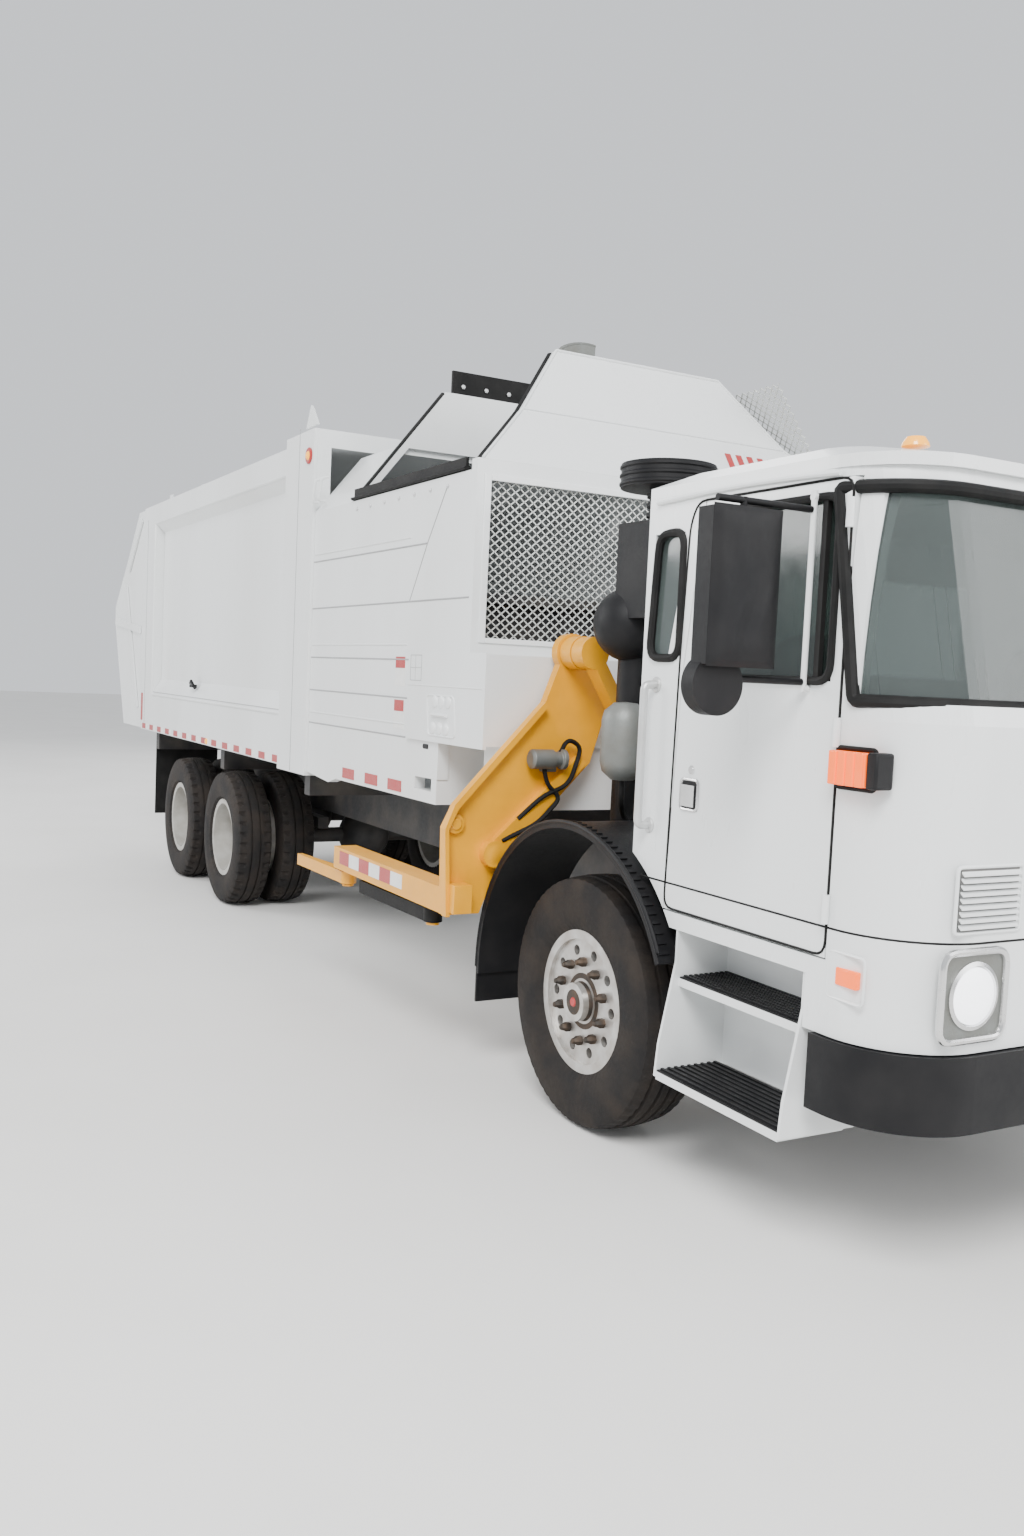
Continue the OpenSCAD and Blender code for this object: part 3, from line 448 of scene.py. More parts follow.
def pad(low, high, crown, channels, axis):
    """Box-shaped grid whose six faces swell by crown times the product of (1 - u^2) over the face.

    Sewn channels cut across one axis as narrow valleys."""
    low, high = at(*low), at(*high)
    centre, half = (low + high) / 2, (high - low) / 2
    n = 17
    u = np.linspace(-1, 1, n)
    parts = []
    for k in range(3):
        for s in (-1, 1):
            a, b = np.meshgrid(u, u, indexing="ij")
            p = np.zeros((n, n, 3))
            p[..., k] = s
            p[..., (k + 1) % 3], p[..., (k + 2) % 3] = a, b
            flat = p.reshape(-1, 3)
            order = 6.0
            r = (np.abs(flat) ** order).sum(1) ** (1 / order)
            flat = flat / r[:, None]
            swell = (1 - flat[:, (k + 1) % 3] ** 2) * (1 - flat[:, (k + 2) % 3] ** 2)
            pts = flat * half
            pts[:, k] += s * (crown * swell - crown * 0.5)
            seam = sum(np.exp(-((flat[:, axis] - c) / 0.045) ** 2) for c in channels)
            pts[:, k] -= s * 0.012 * seam * (swell > 0.02)
            quads = grid_quads(n, n)
            parts.append((centre + pts, (quads if s > 0 else quads[:, ::-1]).tolist()))
    return join(parts)


def welded(obj, distance=0.0008):
    """Joins the pad's faces along their shared edges."""
    work = bmesh.new()
    work.from_mesh(obj.data)
    bmesh.ops.remove_doubles(work, verts=work.verts, dist=distance)
    bmesh.ops.recalc_face_normals(work, faces=work.faces)
    work.to_mesh(obj.data)
    work.free()
    obj.data.shade_smooth()
    return obj


seat_parts = []
for side, s in (("right", -1), ("left", 1)):
    y0, y1 = sorted((s * 0.40, s * 0.86))
    for name, low, high, crown, cuts, axis in (
            ("cushion", (0.785, y0, 1.315), (1.225, y1, 1.427), 0.018, (-0.5, 0.0, 0.5), 1),
            ("back", (0.704, y0 + 0.01, 1.44), (0.818, y1 - 0.01, 2.076), 0.02, (-0.45, 0.1, 0.62), 2)):
        soft = welded(piece(f"seat_{name}_{side}", pad(low, high, crown, cuts, axis), CLOTH, "root",
                            levels=1))
        seat_parts.append(soft)
bases = []
for s in (-1, 1):
    y0, y1 = sorted((s * 0.48, s * 0.78))
    bases.append(block((0.88, y0, 1.105), (1.08, y1, 1.31)))
    y0, y1 = sorted((s * 0.42, s * 0.84))
    bases.append(block((0.705, y0, 1.33), (0.778, y1, 1.434)))
stand = piece("seat_stands", join(bases), PLASTIC, "root", bevel=0.006)
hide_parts("seats")

# ---- expanded-metal screens ----

def mesh_screen(corner, across, up, count_a, count_u, width, depth):
    """Diamond lattice: two families of zigzag strands, z = |sawtooth|, over the parallelogram
    from corner along across and up."""
    corner, across, up = (np.asarray(v, float) for v in (corner, across, up))
    normal = np.cross(across, up)
    normal /= np.linalg.norm(normal)
    ua = across / np.linalg.norm(across)
    parts = []
    for i in range(count_a):
        for flip in (0, 1):
            j = np.arange(count_u + 1)
            a = (i + 0.5 + 0.5 * np.where((j + flip) % 2, 1, -1) * 0.96) / count_a
            line = corner + a[:, None] * across + (j / count_u)[:, None] * up
            ring = []
            for da, dn in ((-width, -depth), (width, -depth), (width, depth), (-width, depth)):
                ring.append(line + da * ua + dn * normal)
            pts = np.stack(ring, 1).reshape(-1, 3)
            faces = grid_quads(count_u + 1, 4, False, True).tolist()
            faces += [[0, 1, 2, 3], [4 * count_u + k for k in (3, 2, 1, 0)]]
            parts.append((pts, faces))
    return join(parts)


SCREEN = material("screen_metal", (0.62, 0.64, 0.62), 0.45, metal=0.4, soil=(0.3, 0.25, 0.2), soiled=0.3, scale=10.0,
                  grain=0.2)
WALL_X = -0.986
front_screen = mesh_screen(at(WALL_X - 0.034, -1.165, 2.05), (0, 2.33, 0), (0, 0, 0.755), 46, 18, 0.004, 0.003)
left_screen = mesh_screen(at(-2.57, 1.20, 2.86), (1.45, 0, 0), (0, -0.54, 0.69), 28, 18, 0.004, 0.003)
side_bars = join([tube([at(x, 1.21, 2.855), at(x, 0.66, 3.55)], 0.014, 8) for x in (-2.55, -2.2, -1.85, -1.58)]
                 + [tube([at(-2.57, 1.21, 2.87), at(-1.1, 1.21, 2.87)], 0.014, 8),
                    tube([at(-2.57, 0.66, 3.55), at(-1.6, 0.66, 3.55)], 0.014, 8)])
grille = piece("hopper_mesh", join([front_screen, left_screen]), SCREEN, "root", smooth=False)
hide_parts("hopper_screen")
piece("hopper_mesh_bars", side_bars, CHASSIS, "root")

dress(["air_intake", "fenders", "mirror_right", "mirror_left"], PLASTIC)
signals = []
for s in (-1, 1):
    for k in range(4):
        y0, y1 = sorted((s * 1.202, s * 1.25))
        signals.append(block((1.489 + 0.0375 * k, y0, 1.593), (1.521 + 0.0375 * k, y1, 1.697)))
    y0, y1 = sorted((s * 1.201, s * 1.244))
    signals.append(block((1.488, y0, 1.594), (1.638, y1, 1.696)))
lamps = piece("turn_signals", join(signals), ORANGE, "root", bevel=0.004)
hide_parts("front_lamps")

# ---- floor ----

FLOOR = material("studio_floor", (0.80, 0.79, 0.77), 0.75, soil=(0.70, 0.69, 0.66), soiled=0.4, scale=0.8, grain=0.2)
bpy.ops.mesh.primitive_plane_add(size=120, location=(0, 0, -0.0005))
floor = bpy.context.object
floor.name = "floor"
floor.data.materials.append(FLOOR)


# ---- cab trim ----

def cab_path(z, grow=0.004, x_end=0.46, nose=1.81):
    """Outline of the cab's sides and front at one height: straight side, quarter-round corner, flat nose."""
    half = CAB_HALF + grow
    r = 0.30
    turn = np.linspace(-math.pi / 2, 0, 14)
    nose = nose + grow
    pts = [at(x_end, -half, z)]
    pts += [at(nose - r + r * math.cos(t), -half + r + r * math.sin(t), z) for t in turn]
    pts += [at(nose, half - r, z)]
    pts += [at(nose - r + r * math.cos(t), half - r + r * math.sin(t), z) for t in -turn[::-1]]
    pts += [at(x_end, half, z)]
    return np.array(pts)


def lean_at(z):
    """How far the nose leans back at a height."""
    return max(0.0, 0.17 * (z - 1.6) / 0.96)


def strip_outline(outline, width, y):
    """Closed rubber strip that follows an outline in X and Z on the cab's side."""
    return tube(rounded(on_side(outline, y), 0.06, steps=6), width, 8, closed=True)


DOOR = [(0.62, 1.05), (1.475, 1.05), (1.475, 2.53), (0.70, 2.53), (0.66, 2.45), (0.64, 2.0)]
DOOR_WINDOW = [(0.80, 1.905), (1.425, 1.905), (1.425, 2.48), (0.86, 2.48)]
QUARTER = [(0.445, 1.97), (0.63, 1.97), (0.63, 2.43), (0.475, 2.43)]

for side, sign in (("right", -1), ("left", 1)):
    inner, outer = sign * (CAB_HALF - 0.012), sign * (CAB_HALF + 0.006)
    door_parts = [strip_outline(DOOR_WINDOW, 0.014, sign * (CAB_HALF + 0.002)),
                  block((1.35, min(inner, outer), 1.91), (1.372, max(inner, outer), 2.475))]
    piece("door_seal_" + side, join(door_parts), RUBBER, "door_" + side)
    gap = tube(rounded(on_side(DOOR, sign * (CAB_HALF + 0.0005)), 0.05, steps=5), 0.0045, 6, closed=True)
    piece("door_gap_" + side, gap, RUBBER, "root")
    quarter = strip_outline(QUARTER, 0.016, sign * (CAB_HALF + 0.001))
    piece("quarter_seal_" + side, quarter, RUBBER, "root")
    edge = on_side([(0.69, 1.425), (0.79, 1.425), (0.79, 1.535), (0.69, 1.535)], sign * (CAB_HALF + 0.002))
    ring = tube(rounded(edge, 0.02), 0.006, 8, closed=True)
    dish = slab(rounded(edge, 0.02), (0, -sign * 0.004, 0))
    y0, y1 = sorted((sign * (CAB_HALF + 0.003), sign * (CAB_HALF + 0.010)))
    lever = block((0.700, y0, 1.437), (0.775, y1, 1.515))
    lock = lathe([(0, 0.006), (0.013, 0.006), (0.016, 0.003), (0.016, 0), (0, 0)], at(0.745, sign * CAB_HALF, 1.57),
                 (0, sign, 0), 24)
    piece("door_handle_" + side, join([ring, lever, lock]), CHROME, "door_" + side)
    piece("handle_dish_" + side, dish, PLASTIC, "door_" + side)
    grab = tube(rounded([at(0.50, sign * (CAB_HALF + 0.002), 1.34), at(0.50, sign * (CAB_HALF + 0.055), 1.34),
                         at(0.50, sign * (CAB_HALF + 0.055), 1.87), at(0.50, sign * (CAB_HALF + 0.002), 1.87)],
                        0.045, closed=False, steps=8), 0.0155, 16)
    feet = join([lathe([(0, 0.008), (0.026, 0.008), (0.03, 0.004), (0.03, 0), (0, 0)],
                       at(0.50, sign * CAB_HALF, z), (0, sign, 0), 20) for z in (1.34, 1.87)])
    piece("grab_handle_" + side, join([grab, feet]), STEEL, "root")
    drip = tube([at(x, sign * (CAB_HALF - 0.002 + 0.010), 2.545 + 0.012 * math.sin((x - 0.46) / 0.96 * math.pi))
                 for x in np.linspace(0.46, 1.42, 20)], 0.009, 8)
    piece("drip_rail_" + side, drip, WHITE, "root")
    y0, y1 = sorted((sign * 1.17, sign * 1.243))
    cap = block((1.641, y0, 1.59), (1.685, y1, 1.70))
    piece("signal_cap_" + side, cap, PLASTIC, "root", bevel=0.008)
    hinges = join([lathe([(0, -0.045), (0.013, -0.045), (0.013, 0.045), (0, 0.045)],
                         at(1.478, sign * (CAB_HALF + 0.012), z), (0, 0, 1), 20) for z in (1.2, 1.75, 2.42)])
    piece("door_hinges_" + side, hinges, WHITE, "root")
    lamp_edge = [at(1.487, sign * 1.252, 1.585), at(1.645, sign * 1.252, 1.585), at(1.645, sign * 1.252, 1.705),
                 at(1.487, sign * 1.252, 1.705)]
    base = rounded(np.array(lamp_edge) + [0, -sign * 0.045, 0], 0.012)
    piece("signal_base_" + side, tube(base, 0.008, 8, closed=True), RUBBER, "root")

# Windshield's thick rubber, wrapped round the corners
seal_loop = []
for z, order in ((1.85, 1), (2.50, -1)):
    nose = 1.814 - lean_at(z)
    arc = [at(nose - 0.30 + 0.303 * math.cos(t), -CAB_HALF + 0.30 + 0.303 * math.sin(t), z)
           for t in np.linspace(-1.38, 0, 12)]
    arc += [at(nose + 0.003, y, z) for y in np.linspace(-CAB_HALF + 0.45, CAB_HALF - 0.45, 12)]
    arc += [at(nose - 0.30 + 0.303 * math.cos(t), CAB_HALF - 0.30 - 0.303 * math.sin(t), z)
            for t in np.linspace(0, -1.38, 12)]
    seal_loop += arc[::order]
seal = tube(rounded(seal_loop, 0.05, steps=4), 0.022, 10, closed=True)
piece("windshield_seal", seal, RUBBER, "root")
piece("nose_seam", tube(cab_path(1.142, -0.001), 0.004, 6), RUBBER, "root")
wipers = []
for y in (-0.55, 0.45):
    wipers.append(tube([at(1.80, y, 1.80), at(1.825, y, 1.83), at(1.80, y + 0.3, 2.12)], 0.009, 8))
    wipers.append(tube([at(1.812, y + 0.3 + 0.05, 1.90), at(1.79, y + 0.3 - 0.02, 2.3)], 0.008, 6))
piece("wipers", join(wipers), PLASTIC, "root")

# Dark grey for the louvre slots: painted shade standing in for the shaded inside of the vent.
VENT_PAINTED_SHADE = material("vent_shadow", (0.12, 0.12, 0.12), 0.8, soiled=0.2, scale=15.0, grain=0.2)

# Headlamps: square bezel round each lens, and the louvre above
for side, sign in (("right", -1), ("left", 1)):
    c = at(1.812, sign * 0.92, 0.985)
    square = rounded(c + np.array([[0.004, -0.135, -0.135], [0.004, 0.135, -0.135], [0.004, 0.135, 0.135],
                                   [0.004, -0.135, 0.135]]), 0.05)
    bezel = tube(square, 0.012, 10, closed=True)
    recess = slab(rounded(c + np.array([[0.002, -0.128, -0.128], [0.002, 0.128, -0.128], [0.002, 0.128, 0.128],
                                        [0.002, -0.128, 0.128]]), 0.05), (-0.006, 0, 0))
    piece("headlamp_recess_" + side, recess, CAST, "root")
    ring = lathe([(0.088, 0.0), (0.105, 0.0), (0.105, 0.012), (0.092, 0.016)], c - [0.004, 0, 0], (1, 0, 0), 48)
    piece("headlamp_bezel_" + side, join([bezel, ring]), CHROME, "root")
    glass = lathe([(0, 0.024), (0.04, 0.0225), (0.075, 0.016), (0.088, 0.006), (0.088, 0.0), (0, 0.0)],
                  c + [0.001, 0, 0], (1, 0, 0), 48)
    piece("headlamp_glass_" + side, glass, CLEAR, "root")
    y0, y1 = sorted((sign * 0.75, sign * 1.0))
    slats = [slab([at(1.808, y0, z), at(1.808, y1, z), at(1.822, y1, z - 0.012), at(1.822, y0, z - 0.012)],
                  (0, 0, 0.005)) for z in np.arange(1.20, 1.36, 0.02)]
    frame_edge = [at(1.811, y0 - 0.015, 1.175), at(1.811, y1 + 0.015, 1.175), at(1.811, y1 + 0.015, 1.375),
                  at(1.811, y0 - 0.015, 1.375)]
    piece("louvre_" + side, join(slats + [tube(rounded(frame_edge, 0.015), 0.006, 8, closed=True)]), WHITE, "root")
    # Dark block behind the slats: painted shade for the inside of the vent.
    piece("louvre_painted_shade_" + side, block((1.806, y0, 1.18), (1.8115, y1, 1.37)), VENT_PAINTED_SHADE, "root")
    amber = lathe([(0, 0.035), (0.03, 0.03), (0.042, 0.012), (0.045, 0), (0, 0)], at(1.42, sign * 0.90, 2.662),
                  (0, 0, 1), 24)
    piece("roof_marker_" + side, amber, AMBER, "root")
    y0, y1 = sorted((sign * (CAB_HALF - 0.016), sign * (CAB_HALF + 0.004)))
    piece("side_marker_" + side, block((1.53, y0, 0.975), (1.62, y1, 1.03)), ORANGE, "root", bevel=0.004)
    edge = on_side([(1.49, 0.93), (1.645, 0.93), (1.645, 1.075), (1.49, 1.075)], sign * (CAB_HALF - 0.004))
    piece("marker_recess_" + side, tube(rounded(edge, 0.02), 0.005, 8, closed=True), WHITE, "root")

# Steps' ribbed treads
ribs = []
for z, y0, y1 in ((0.80, 1.18, 0.95), (0.46, 1.262, 0.98)):
    for s in (-1, 1):
        low_y, high_y = sorted((s * y0, s * y1))
        ribs.append(block((0.716, low_y, z + 0.0003), (1.376, high_y, z + 0.006)))
        for k in range(9):
            y = low_y + 0.02 + k * (high_y - low_y - 0.04) / 8
            ribs.append(block((0.72, y - 0.006, z + 0.006), (1.372, y + 0.006, z + 0.012)))
piece("step_treads", join(ribs), PLASTIC, "root")

# Mirror heads' covers and glass
for side, sign in (("right", -1), ("left", 1)):
    y0, y1 = sorted((sign * 1.384, sign * 1.646))
    v = np.linspace(0, 1, 40)
    h = np.linspace(0, 1, 14)
    vv, hh = np.meshgrid(v, h, indexing="ij")
    edge = np.clip(np.minimum(np.minimum(vv, 1 - vv) * 8, np.minimum(hh, 1 - hh) * 5), 0, 1)
    x = 1.372 + 0.016 * np.sqrt(edge) + 0.002 * np.sin(hh * 2 * math.pi * 3 + 1.5 * np.sin(vv * 9)) * edge
    outer = np.stack([AXLE + x, y0 + hh * (y1 - y0), 1.934 + vv * 0.482], -1)
    inner = np.stack([np.full_like(vv, AXLE + 1.371), y0 + hh * (y1 - y0), 1.934 + vv * 0.482], -1)
    quads = grid_quads(40, 14)
    cover = join([(outer, quads.tolist()), (inner, quads[:, ::-1].tolist())])
    piece("mirror_cover_" + side, cover, PLASTIC, "door_" + side)
    shine = block((1.2855, y0 + 0.02, 1.96), (1.2895, y1 - 0.02, 2.39))
    dome = lathe([(0, -0.012), (0.045, -0.009), (0.082, 0.0), (0.082, 0.003), (0, 0.003)],
                 at(1.282, sign * 1.57, 1.88), (1, 0, 0), 40)
    piece("mirror_glass_" + side, join([shine, dome]), CHROME, "door_" + side)

# Wheel arches: ribs along the outer edge and the lap joint
ribs = []
for s in (-1, 1):
    for a in np.radians(np.arange(-62, 92, 3.0)):
        base = at(0, 0, 0.53) + 0.755 * np.array([math.sin(-a), 0, math.cos(a)])
        y0, y1 = sorted((s * 1.252, s * 1.205))
        t = np.array([math.cos(a), 0, math.sin(a)])
        ribs.append(slab([base + [0, y0, 0] - 0.006 * t, base + [0, y1, 0] - 0.006 * t,
                          base + [0, y1, 0] + 0.006 * t, base + [0, y0, 0] + 0.006 * t],
                         0.008 * np.array([math.sin(-a), 0, math.cos(a)])))
    path = [at(0, s * 1.25, 0.53) + 0.757 * np.array([math.sin(-a), 0, math.cos(a)])
            for a in np.radians(np.arange(-62, 92, 3.0))]
    ribs.append(tube(path, 0.010, 8))
piece("arch_ribs", join(ribs), PLASTIC, "root")


# ---- body and hopper trim ----

SEAM = material("seam_shadow", (0.34, 0.35, 0.36), 0.6, soiled=0.3, scale=12.0, grain=0.2)
STICKER = material("blank_label", (0.78, 0.78, 0.76), 0.5, soiled=0.15, scale=20.0, grain=0.15)


def side_block(x0, x1, z0, z1, proud=0.003, back=0.004, half=None):
    """Thin plates on both sides of the body, from a little inside its wall to a little proud of it."""
    half = BODY_HALF if half is None else half
    return [block((x0, min(s * (half - back), s * (half + proud)), z0),
                  (x1, max(s * (half - back), s * (half + proud)), z1)) for s in (-1, 1)]


def side_line(points, radius=0.0035, half=None):
    """Thin bead along a line in X and Z on both sides."""
    half = BODY_HALF if half is None else half
    return [tube(on_side(points, s * half), radius, 6) for s in (-1, 1)]


seams = []
for x0, x1, z in ((-3.2, -1.515, 2.535), (-3.2, -1.02, 2.245), (-3.2, -1.02, 1.941), (-3.2, -1.67, 1.738),
                  (-3.2, -1.7, 1.532)):
    seams += side_line([(x0, z), (x1, z)], 0.0045)
seams += side_line([(-1.305, 2.80), (-1.515, 2.535), (-1.71, 2.25)], 0.0035)
seams += side_line([(-3.49, 1.2), (-3.49, 3.40)], 0.003, BODY_HALF + 0.02)
seams += side_line([(-7.5, 1.583), (-3.76, 1.583)], 0.003)
seams += side_line([(-7.85, 1.25), (-7.85, 3.2)], 0.003)
piece("panel_seams", join(seams), SEAM, "root")
ribs = []
for s in (-1, 1):
    for z in (1.60, 2.02, 2.58):
        ribs.append(tube([at(x, s * (BODY_HALF - 0.001), z) for x in (-3.19, -1.72)], 0.006, 8))
ribs += side_line([(-7.52, 1.56), (-3.76, 1.56)], 0.012)
ribs += side_line([(-7.52, 3.14), (-3.76, 3.14)], 0.012)
ribs += side_line([(-7.53, 1.56), (-7.53, 3.14)], 0.012)
piece("panel_ribs", join(ribs), TUB, "root")
sill_bolts = [at(x, s * BODY_HALF, 2.80) for x in np.arange(-2.5, -1.1, 0.2) for s in (-1, 1)]
piece("sill_bolts", join([bolt_heads([b], (0, math.copysign(1, b[1]), 0), 0.011, 0.008) for b in sill_bolts]), STEEL,
      "root")
frame_strips = [block((-0.987, y0, z0), (-0.978, y1, z1)) for y0, y1, z0, z1 in (
    (-1.20, -1.165, 2.03, 2.83), (1.165, 1.20, 2.03, 2.83), (-1.165, 1.165, 2.80, 2.83), (-1.165, 1.165, 2.03, 2.055))]
piece("screen_frame", join(frame_strips), WHITE, "root", bevel=0.003)

squares, whites = [], []
for x in np.linspace(-7.85, -3.85, 14):
    squares += side_block(x - 0.07, x + 0.07, 1.224, 1.272, 0.003)
    whites += side_block(x + 0.075, x + 0.145, 1.224, 1.272, 0.0022)
for x in (-2.5, -2.15, -1.82):
    squares += side_block(x - 0.09, x + 0.09, 1.235, 1.295, 0.003)
squares += side_block(-7.99, -7.93, 1.30, 1.56, 0.004)
piece("side_reflectors", join(squares), RED, "root")
piece("side_reflectors_pale", join(whites), TAPE, "root")
label_red = side_block(-1.86, -1.735, 1.895, 1.955, 0.0025) + side_block(-1.86, -1.735, 1.665, 1.725, 0.0025)
label_pale = side_block(-1.865, -1.73, 1.80, 1.96, 0.0015) + side_block(-1.865, -1.73, 1.57, 1.73, 0.0015)
piece("blank_labels_red", join(label_red), RED, "root")
piece("blank_labels", join(label_pale), STICKER, "root")

marker_ring, marker_lamp = [], []
for s in (-1, 1):
    where = at(-3.30, s * (BODY_HALF + 0.02), 3.205)
    marker_ring.append(lathe([(0.026, 0), (0.05, 0), (0.052, 0.008), (0.044, 0.014), (0.03, 0.012)], where,
                             (0, s, 0), 32))
    marker_lamp.append(lathe([(0, 0.026), (0.018, 0.023), (0.029, 0.012), (0.03, 0), (0, 0)], where, (0, s, 0), 28))
    mid = at(-5.6, s * BODY_HALF, 1.247)
    marker_lamp.append(lathe([(0, 0.016), (0.02, 0.012), (0.026, 0), (0, 0)], mid, (0, s, 0), 20))
piece("marker_rings", join(marker_ring), RED, "root")
piece("marker_lamps", join(marker_lamp), AMBER, "root")

hooks = []
for s in (-1, 1):
    for x in (-3.16, -3.05):
        hooks.append(tube(rounded([at(x, s * (BODY_HALF + 0.0), 2.90), at(x + 0.01, s * (BODY_HALF + 0.045), 2.90),
                                   at(x + 0.055, s * (BODY_HALF + 0.045), 3.03), at(x + 0.06, s * BODY_HALF, 3.04)],
                                  0.02, closed=False), 0.0095, 10))
    hooks.append(slab([at(-3.52, s * 1.20, 3.41), at(-3.30, s * 1.20, 3.41), at(-3.40, s * 1.20, 3.52),
                       at(-3.44, s * 1.20, 3.55)], (0, s * 0.012, 0)))
piece("grab_hooks", join(hooks), WHITE, "root")
clips = side_block(-6.16, -6.06, 1.665, 1.69, 0.008, 0.03)
clips += [tube([at(-6.2, s * (BODY_HALF - 0.01), 1.70), at(-6.12, s * (BODY_HALF + 0.004), 1.72),
                at(-6.05, s * (BODY_HALF - 0.01), 1.66)], 0.012, 8) for s in (-1, 1)]
piece("ledge_clips", join(clips), PLASTIC, "root")

# Lamp cluster pressed in the raised panel, with the panel's fold and its blank label
face = -(BODY_HALF + 0.018)
cluster_edge = [at(-1.38, face, 1.565), at(-1.07, face, 1.565), at(-1.10, face, 1.765), at(-1.41, face, 1.765)]
cluster = [tube(rounded(cluster_edge, 0.03), 0.005, 8, closed=True)]
for z in (1.735, 1.60):
    for x in (-1.32, -1.245, -1.17):
        cluster.append(lathe([(0, 0.010), (0.018, 0.0095), (0.029, 0.006), (0.033, 0.0), (0, 0)],
                             at(x - (1.667 - z) * 0.12, face, z), (0, -1, 0), 28))
cluster.append(tube([at(-1.33, face, 1.668), at(-1.16, face, 1.668)], 0.02, 14, flat=0.45))
cluster.append(tube([at(-1.65, face, 1.812), at(-0.80, face, 1.812)], 0.004, 6))
piece("pressed_lamp_cluster", join(cluster), WHITE, "root")
outline = [at(-1.625, face, 1.835), at(-1.49, face, 1.835), at(-1.49, face, 1.965), at(-1.625, face, 1.965)]
label = [tube(outline, 0.0022, 6, closed=True), tube([at(-1.625, face, 1.90), at(-1.49, face, 1.90)], 0.0015, 6),
         tube([at(-1.565, face, 1.835), at(-1.565, face, 1.965)], 0.0015, 6)]
piece("blank_panel_label", join(label), SEAM, "root")
wire = [tube(rounded([at(-1.50, -1.20, 1.535), at(-1.50, -1.23, 1.40), at(-1.38, -1.235, 1.36), at(-1.34, -1.22, 1.48),
                      at(-1.34, -1.20, 1.535)], 0.05, closed=False), 0.006, 8),
        lathe([(0, -0.03), (0.02, -0.03), (0.02, 0.03), (0, 0.03)], at(-1.44, -1.225, 1.50), (1, 0, 0), 16)]
piece("lamp_wires", join(wire), PLASTIC, "root")

# Canopy: stripes on the hood, visor over its edge, bolts on the flap
slope = np.array([-0.292, 0.0, 0.325]) / 0.437
out = np.array([0.744, 0.0, 0.668])
stripes = []
for k in range(5):
    y = 0.36 + 0.075 * k
    base = at(-0.986, y, 2.90) + 0.20 * slope
    stripes.append(slab([base, base + [0, 0.038, 0], base + [0, 0.058, 0] + 0.13 * slope,
                         base + [0, 0.02, 0] + 0.13 * slope], 0.004 * out))
piece("hood_stripes", join(stripes), RED, "root")
u = np.linspace(0, 1, 12)
top_edge = np.stack([AXLE - 1.53 - 0.05 * u, -0.52 + 0.26 * u, 3.605 + 0.085 * np.sin(u * math.pi * 0.55) ** 0.6], -1)
base_edge = np.stack([AXLE - 1.53 - 0.05 * u, -0.52 + 0.26 * u, np.full(12, 3.604)], -1)
rim_path = tube(top_edge + [0.006, 0, 0], 0.010, 8)
visor = slab(list(top_edge) + list(base_edge[::-1]), (0.014, 0, 0))
piece("hood_visor", join([visor, rim_path]), CAST, "root")
flap_bolts = bolt_heads([at(-2.592, y, 3.61) for y in np.linspace(-0.55, 0.55, 8)], (1, 0, 0), 0.014, 0.008)
piece("flap_bolts", flap_bolts, STEEL, "root")
edges = [tube([at(-1.278, -0.852, 3.229), at(-1.278, 0.852, 3.229)], 0.006, 8),
         tube([at(-1.51, -0.539, 3.612), at(-1.51, 0.539, 3.612)], 0.008, 8)]
edges += [tube([at(-0.985, s * 1.213, 2.905), at(-1.278, s * 0.852, 3.228), at(-1.51, s * 0.539, 3.612)], 0.007, 8)
          for s in (-1, 1)]
piece("hood_edges", join(edges), WHITE, "root")

strips = []
for s in (-1, 1):
    hoop = [at(-2.592, s * 1.225, 2.86), at(-2.592, s * 0.685, 3.55)]
    strips.append(tube(hoop, 0.022, 8, flat=0.5))
    hood_rear = [at(-1.052, s * 1.205, 2.90), at(-1.325, s * 0.862, 3.212), at(-1.556, s * 0.548, 3.60)]
    strips.append(tube(hood_rear, 0.018, 8, flat=0.5))
    strips.append(tube([at(-2.58, s * 1.236, 2.865), at(-1.10, s * 1.236, 2.865)], 0.02, 8, flat=0.5))
piece("canopy_edge_strips", join(strips), RUBBER, "root")

# Tailgate: struts, shelf edge, lamps and reflective tape
slope = np.array([-0.4525, 0.0, 0.8918])
out = np.array([-0.8918, 0.0, -0.4525])
struts, reds, ambers, pales, tapes = [], [], [], [], []
for s in (-1, 1):
    y = s * (BODY_HALF + 0.003)
    for outline, proud in (([(-8.10, 1.42), (-8.17, 1.42), (-8.75, 2.55), (-8.70, 2.62)], 0.016),
                           ([(-8.06, 2.20), (-8.06, 2.13), (-9.18, 2.23), (-9.18, 2.30)], 0.022),
                           ([(-8.06, 3.20), (-8.13, 3.24), (-8.66, 2.80), (-8.60, 2.74)], 0.016)):
        struts.append(slab(on_side(outline, y), (0, s * proud, 0)))
    for k, (store, z) in enumerate(((reds, 0.20), (reds, 0.34), (ambers, 0.48), (pales, 0.62))):
        store.append(lathe([(0, 0.018), (0.03, 0.016), (0.048, 0.008), (0.052, 0), (0, 0)],
                           at(-8.78, s * 1.08, 1.225) + z * slope, out, 32))
    for k in range(4):
        low = at(-8.78, s * (0.25 + 0.2 * k), 1.225) + 0.06 * slope
        tapes.append(slab([low - [0, 0.08, 0], low + [0, 0.08, 0], low + [0, 0.08, 0] + 0.05 * slope,
                           low - [0, 0.08, 0] + 0.05 * slope], 0.003 * out))
struts += [tube([at(-9.302, -1.2, z), at(-9.302, 1.2, z)], 0.010, 8) for z in (2.25, 2.42)]
piece("tailgate_struts", join(struts), TUB, "tailgate")
piece("tail_lamps", join(reds), RED, "tailgate")
piece("tail_signals", join(ambers), AMBER, "tailgate")
piece("reversing_lamps", join(pales), CLEAR, "tailgate")
piece("tailgate_tape", join(tapes), RED, "tailgate")

# ---- arm trim ----

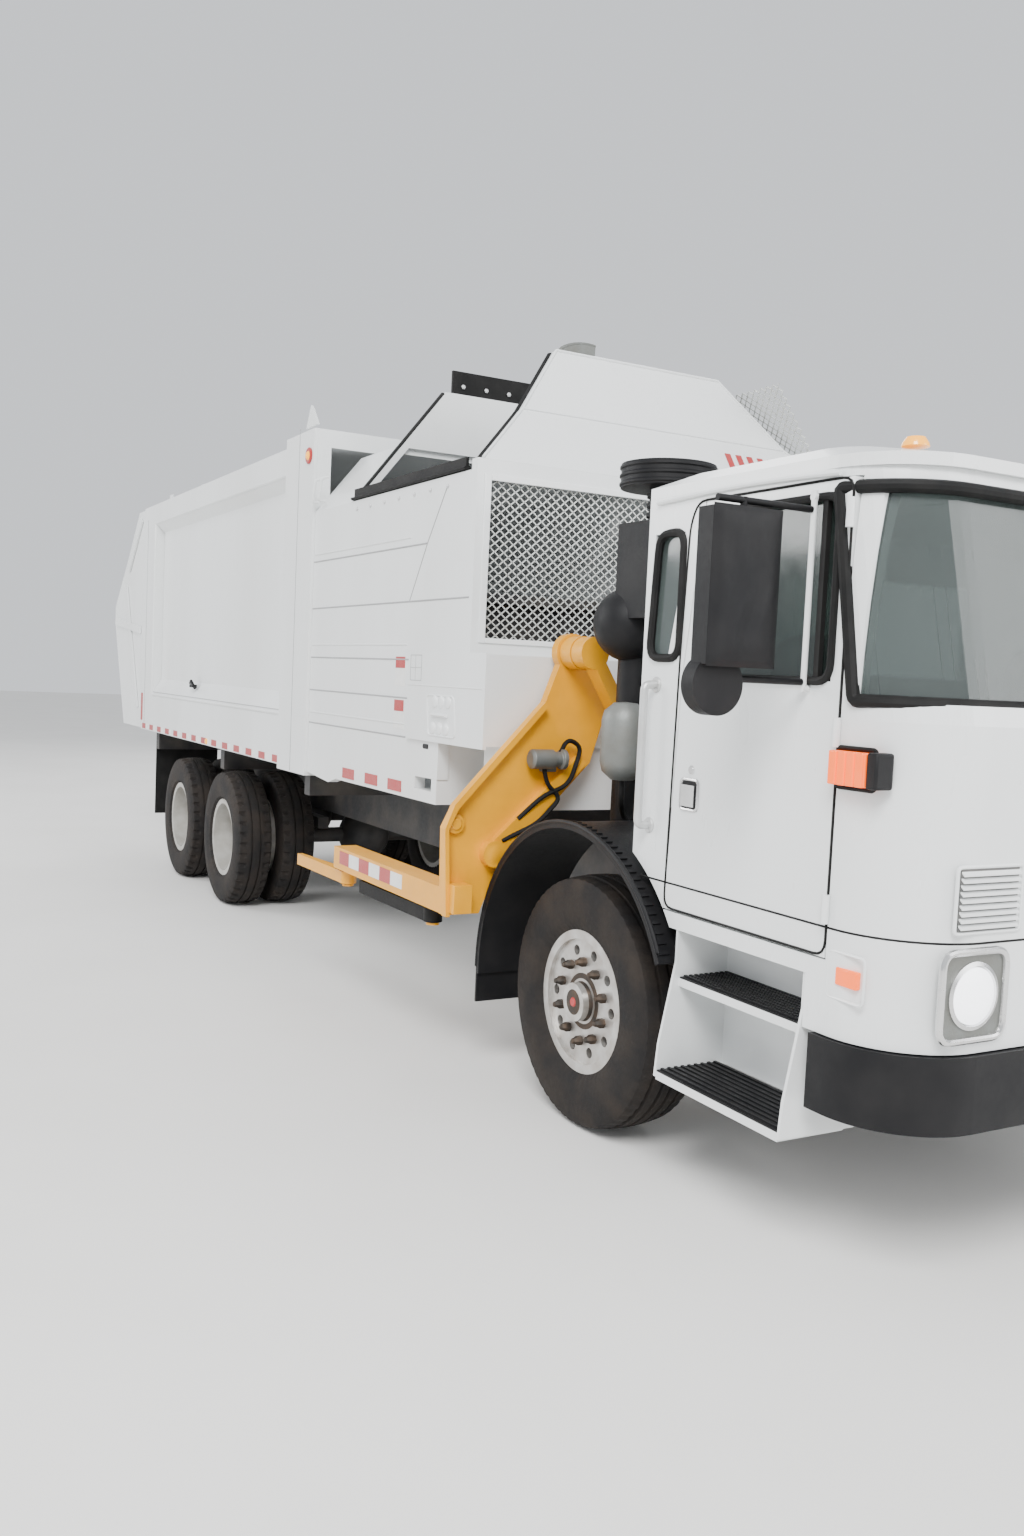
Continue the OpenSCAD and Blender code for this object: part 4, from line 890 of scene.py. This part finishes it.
tape_red, tape_pale = [], []
for k in range(6):
    x0 = -2.02 + 0.14 * k
    (tape_red if k % 2 == 0 else tape_pale).append(block((x0, -1.4625, 0.815), (x0 + 0.14, -1.4585, 0.885)))
piece("beam_tape_red", join(tape_red), RED, "arm_outer")
piece("beam_tape_pale", join(tape_pale), TAPE, "arm_outer")
MOTOR_X = -0.645
boss = [lathe([(0, 0.052), (0.03, 0.052), (0.034, 0.05), (0.05, 0.05), (0.058, 0.045), (0.062, 0.03), (0.062, 0),
               (0, 0)], at(-0.695, -1.235, 1.06), (1, 0, 0), 32),
        lathe([(0, 0.030), (0.024, 0.030), (0.03, 0.022), (0.045, 0.020), (0.05, 0.0), (0, 0)], at(-0.695, -1.43, 1.20),
              (1, 0, 0), 28),
        block((-0.694, -1.462, 0.80), (-0.60, -1.37, 0.93))]
piece("arm_bosses", join(boss), YELLOW, "arm_outer", bevel=0.002)
motor = [lathe([(0, -0.10), (0.032, -0.10), (0.046, -0.09), (0.046, 0.02), (0.036, 0.025), (0.036, 0.06),
                (0.048, 0.065), (0.048, 0.085), (0.02, 0.09), (0, 0.09)], at(-0.642, -0.98, 1.50), (0, 1, 0), 32),
         block((-0.692, -1.0, 1.44), (-0.65, -0.93, 1.49))]
piece("arm_motor", join(motor), CAST, "arm_outer", bevel=0.002)
hoses = [[(MOTOR_X, -0.92, 1.52), (MOTOR_X, -0.88, 1.60), (MOTOR_X, -0.80, 1.56), (MOTOR_X, -0.86, 1.38),
          (MOTOR_X, -1.0, 1.33), (-0.66, -1.12, 1.22)],
         [(MOTOR_X, -1.0, 1.455), (MOTOR_X, -0.98, 1.38), (MOTOR_X, -0.90, 1.32), (MOTOR_X, -1.02, 1.20),
          (-0.66, -1.2, 1.12)]]
hoses = [tube(rounded([at(*p) for p in route], 0.06, closed=False), 0.011, 8) for route in hoses]
piece("arm_hoses", join(hoses), RUBBER, "arm_outer")
tank = [lathe([(0, -0.17), (0.05, -0.165), (0.09, -0.13), (0.10, -0.09), (0.10, 0.09), (0.09, 0.13), (0.05, 0.165),
               (0, 0.17)], at(-0.10, -0.93, 1.62), (0, 0, 1), 40)]
straps = [tube([at(-0.13, -0.86, z), at(-0.24, -0.79, z)], 0.012, 8) for z in (1.54, 1.70)]
piece("behind_cab_tank", join(tank), CAST, "root")
pipes = [tube(rounded([at(-0.10, -0.93, 1.46), at(-0.10, -0.93, 1.36), at(-0.2, -0.85, 1.28), at(-0.2, -0.6, 1.05),
                       at(-0.2, -0.46, 0.95)], 0.08, closed=False), 0.014, 10)]
piece("behind_cab_pipes", join(straps + pipes), RUBBER, "root")

# Intake: ribs of the cap and the clamps of the elbow
cap_rings = [lathe([(0.200, z), (0.206, z + 0.006), (0.206, z + 0.014), (0.200, z + 0.02)],
                   at(-0.03, -0.82, 2.69), (0, 0, 1), 64) for z in (0.005, 0.04, 0.075)]
cap_rings += [lathe([(0.078, z), (0.086, z + 0.004), (0.086, z + 0.02), (0.078, z + 0.024)],
                    at(-0.03, -0.82, 2.56), (0, 0, 1), 40) for z in (0.01, 0.05, 0.09)]
piece("intake_rings", join(cap_rings), PLASTIC, "root")
